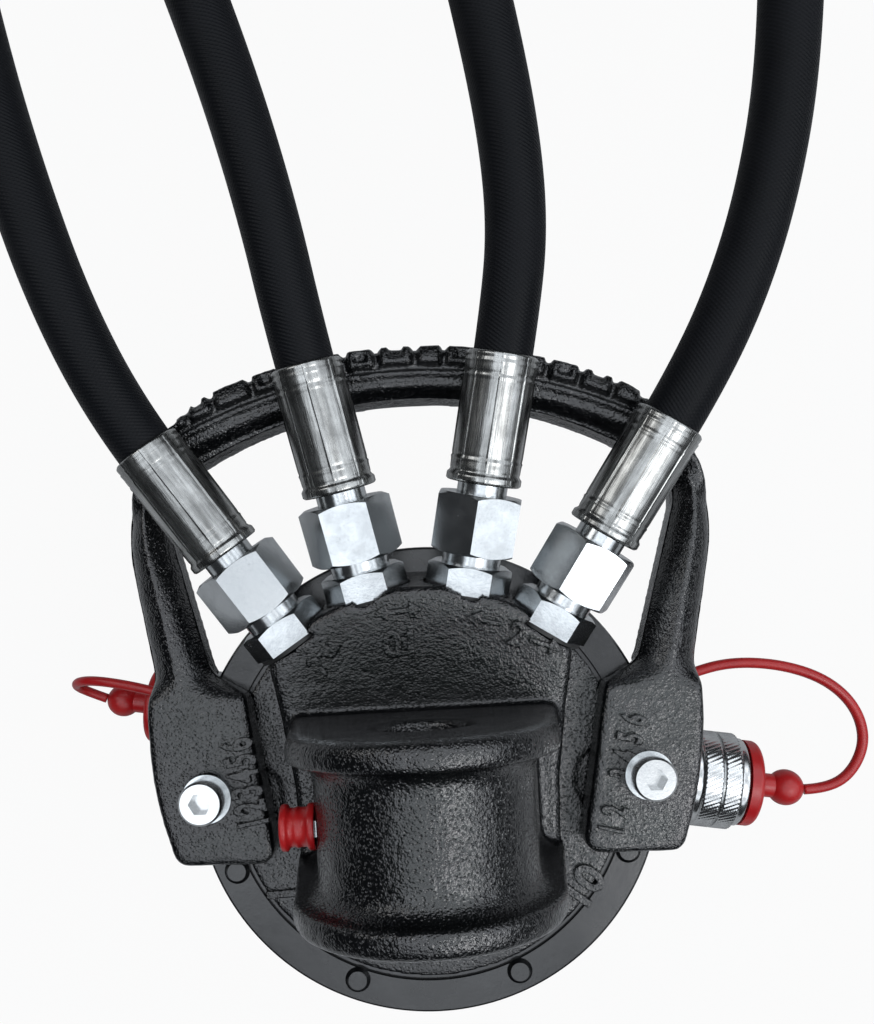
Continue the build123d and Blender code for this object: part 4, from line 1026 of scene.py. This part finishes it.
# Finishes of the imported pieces

def finish_packed_pieces():
    """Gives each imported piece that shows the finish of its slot."""
    slots = {sub["node"]: sub["material_slot"] for sub in frame["record"]["subparts"]}
    for name, piece in nodes.items():
        material = FINISHES[slots[name]]
        if name.startswith(("guard_screws", "coupling_body", "coupling_adapter")):
            material = ZINC_BRIGHT
        if name == "clamp_screws":
            material = PAINT_TURNED
        if not piece.data.materials:
            piece.data.materials.append(material)
        for place in piece.material_slots:
            place.material = material


finish_packed_pieces()


# Floor, light and camera

WHITE = (1, 1, 1, 1)
FLOOR_SHADE = (0.4, 0.4, 0.4, 1)
FLOOR_GLOW = 0.93
SKY_LOW = (0.035, 0.037, 0.04, 1)
SKY_HIGH = (2.4, 2.53, 2.7, 1)
LAMPS = [("key_lamp", (0.55, -0.35, 1.1), 3.0), ("fill_lamp", (-0.7, 0.5, 0.9), 1.5)]
LAMP_SIZE = 0.4
LAMP_AIM = Vector((0, 0.05, 0.16))
CAMERA_PLACE = (0.00448, 0.04973, 0.4463)
CAMERA_TURN = -3.1


def studio_floor():
    """A pale floor that shows white to the camera and gives less light than it shows."""
    bpy.ops.mesh.primitive_plane_add(size=6, location=(0, 0.2, -0.0005))
    floor = bpy.context.object
    floor.name = "studio_floor"
    made = bpy.data.materials.new("pale_floor")
    made.use_nodes = True
    tree = made.node_tree
    shader = tree.nodes["Principled BSDF"]
    shader.inputs["Base Color"].default_value = FLOOR_SHADE
    shader.inputs["Roughness"].default_value = 0.9
    glow = add(tree, "Emission", {"Color": WHITE, "Strength": 1.0})
    seen = add(tree, "LightPath").outputs["Is Camera Ray"]
    share = number(tree, "MULTIPLY", seen, FLOOR_GLOW)
    mixed = add(tree, "MixShader", {0: share, 1: shader.outputs[0], 2: glow.outputs[0]})
    tree.links.new(mixed.outputs[0], tree.nodes["Material Output"].inputs["Surface"])
    floor.data.materials.append(made)


def studio_sky():
    """A soft bright patch overhead that leans to +X, broken up as by a room, over a dark rest."""
    world = bpy.data.worlds.new("studio_sky")
    bpy.context.scene.world = world
    world.use_nodes = True
    tree = world.node_tree
    heading = add(tree, "TexCoord").outputs["Generated"]
    parts = add(tree, "SeparateXYZ", {"Vector": heading})
    lean = number(tree, "MULTIPLY", parts.outputs["X"], 0.32)
    height = number(tree, "ADD", number(tree, "MULTIPLY", parts.outputs["Z"], 0.95), lean)
    cloud = add(tree, "TexNoise", {"Vector": heading, "Scale": 4.0, "Detail": 2.0}).outputs[0]
    cloud = number(tree, "ADD", number(tree, "MULTIPLY", ramp(tree, cloud, 0.42, 0.56), 0.75), 0.32)
    overhead = number(tree, "MULTIPLY", ramp(tree, height, 0.55, 0.72), cloud)
    sky = add(tree, "Mix", {"Factor": overhead, "A": SKY_LOW, "B": SKY_HIGH}, data_type="RGBA")
    ray = add(tree, "LightPath").outputs["Is Camera Ray"]
    white = add(tree, "Mix", {"Factor": ray, "A": sky.outputs["Result"], "B": WHITE},
                data_type="RGBA")
    tree.links.new(white.outputs["Result"], tree.nodes["Background"].inputs["Color"])


def studio_lamps():
    """Two square lamps that give the metal its small bright edges."""
    for name, place, power in LAMPS:
        lamp = bpy.data.lights.new(name, "AREA")
        lamp.shape = "SQUARE"
        lamp.size = LAMP_SIZE
        lamp.energy = power
        holder = bpy.data.objects.new(name, lamp)
        holder.location = place
        aim = LAMP_AIM - Vector(place)
        holder.rotation_euler = aim.to_track_quat("-Z", "Y").to_euler()
        bpy.context.scene.collection.objects.link(holder)


def photo_camera():
    """The photograph's camera, straight above the housing."""
    camera = bpy.data.cameras.new("photo_camera")
    camera.lens = 32.7
    camera.sensor_width = 36
    camera.shift_x = 0.00293
    camera.shift_y = 0.1074
    camera.clip_start = 0.01
    holder = bpy.data.objects.new("photo_camera", camera)
    holder.location = CAMERA_PLACE
    holder.rotation_euler = (0, 0, radians(CAMERA_TURN))
    bpy.context.scene.collection.objects.link(holder)
    bpy.context.scene.camera = holder
    bpy.context.scene.view_settings.view_transform = "Standard"


studio_floor()
studio_sky()
studio_lamps()
photo_camera()
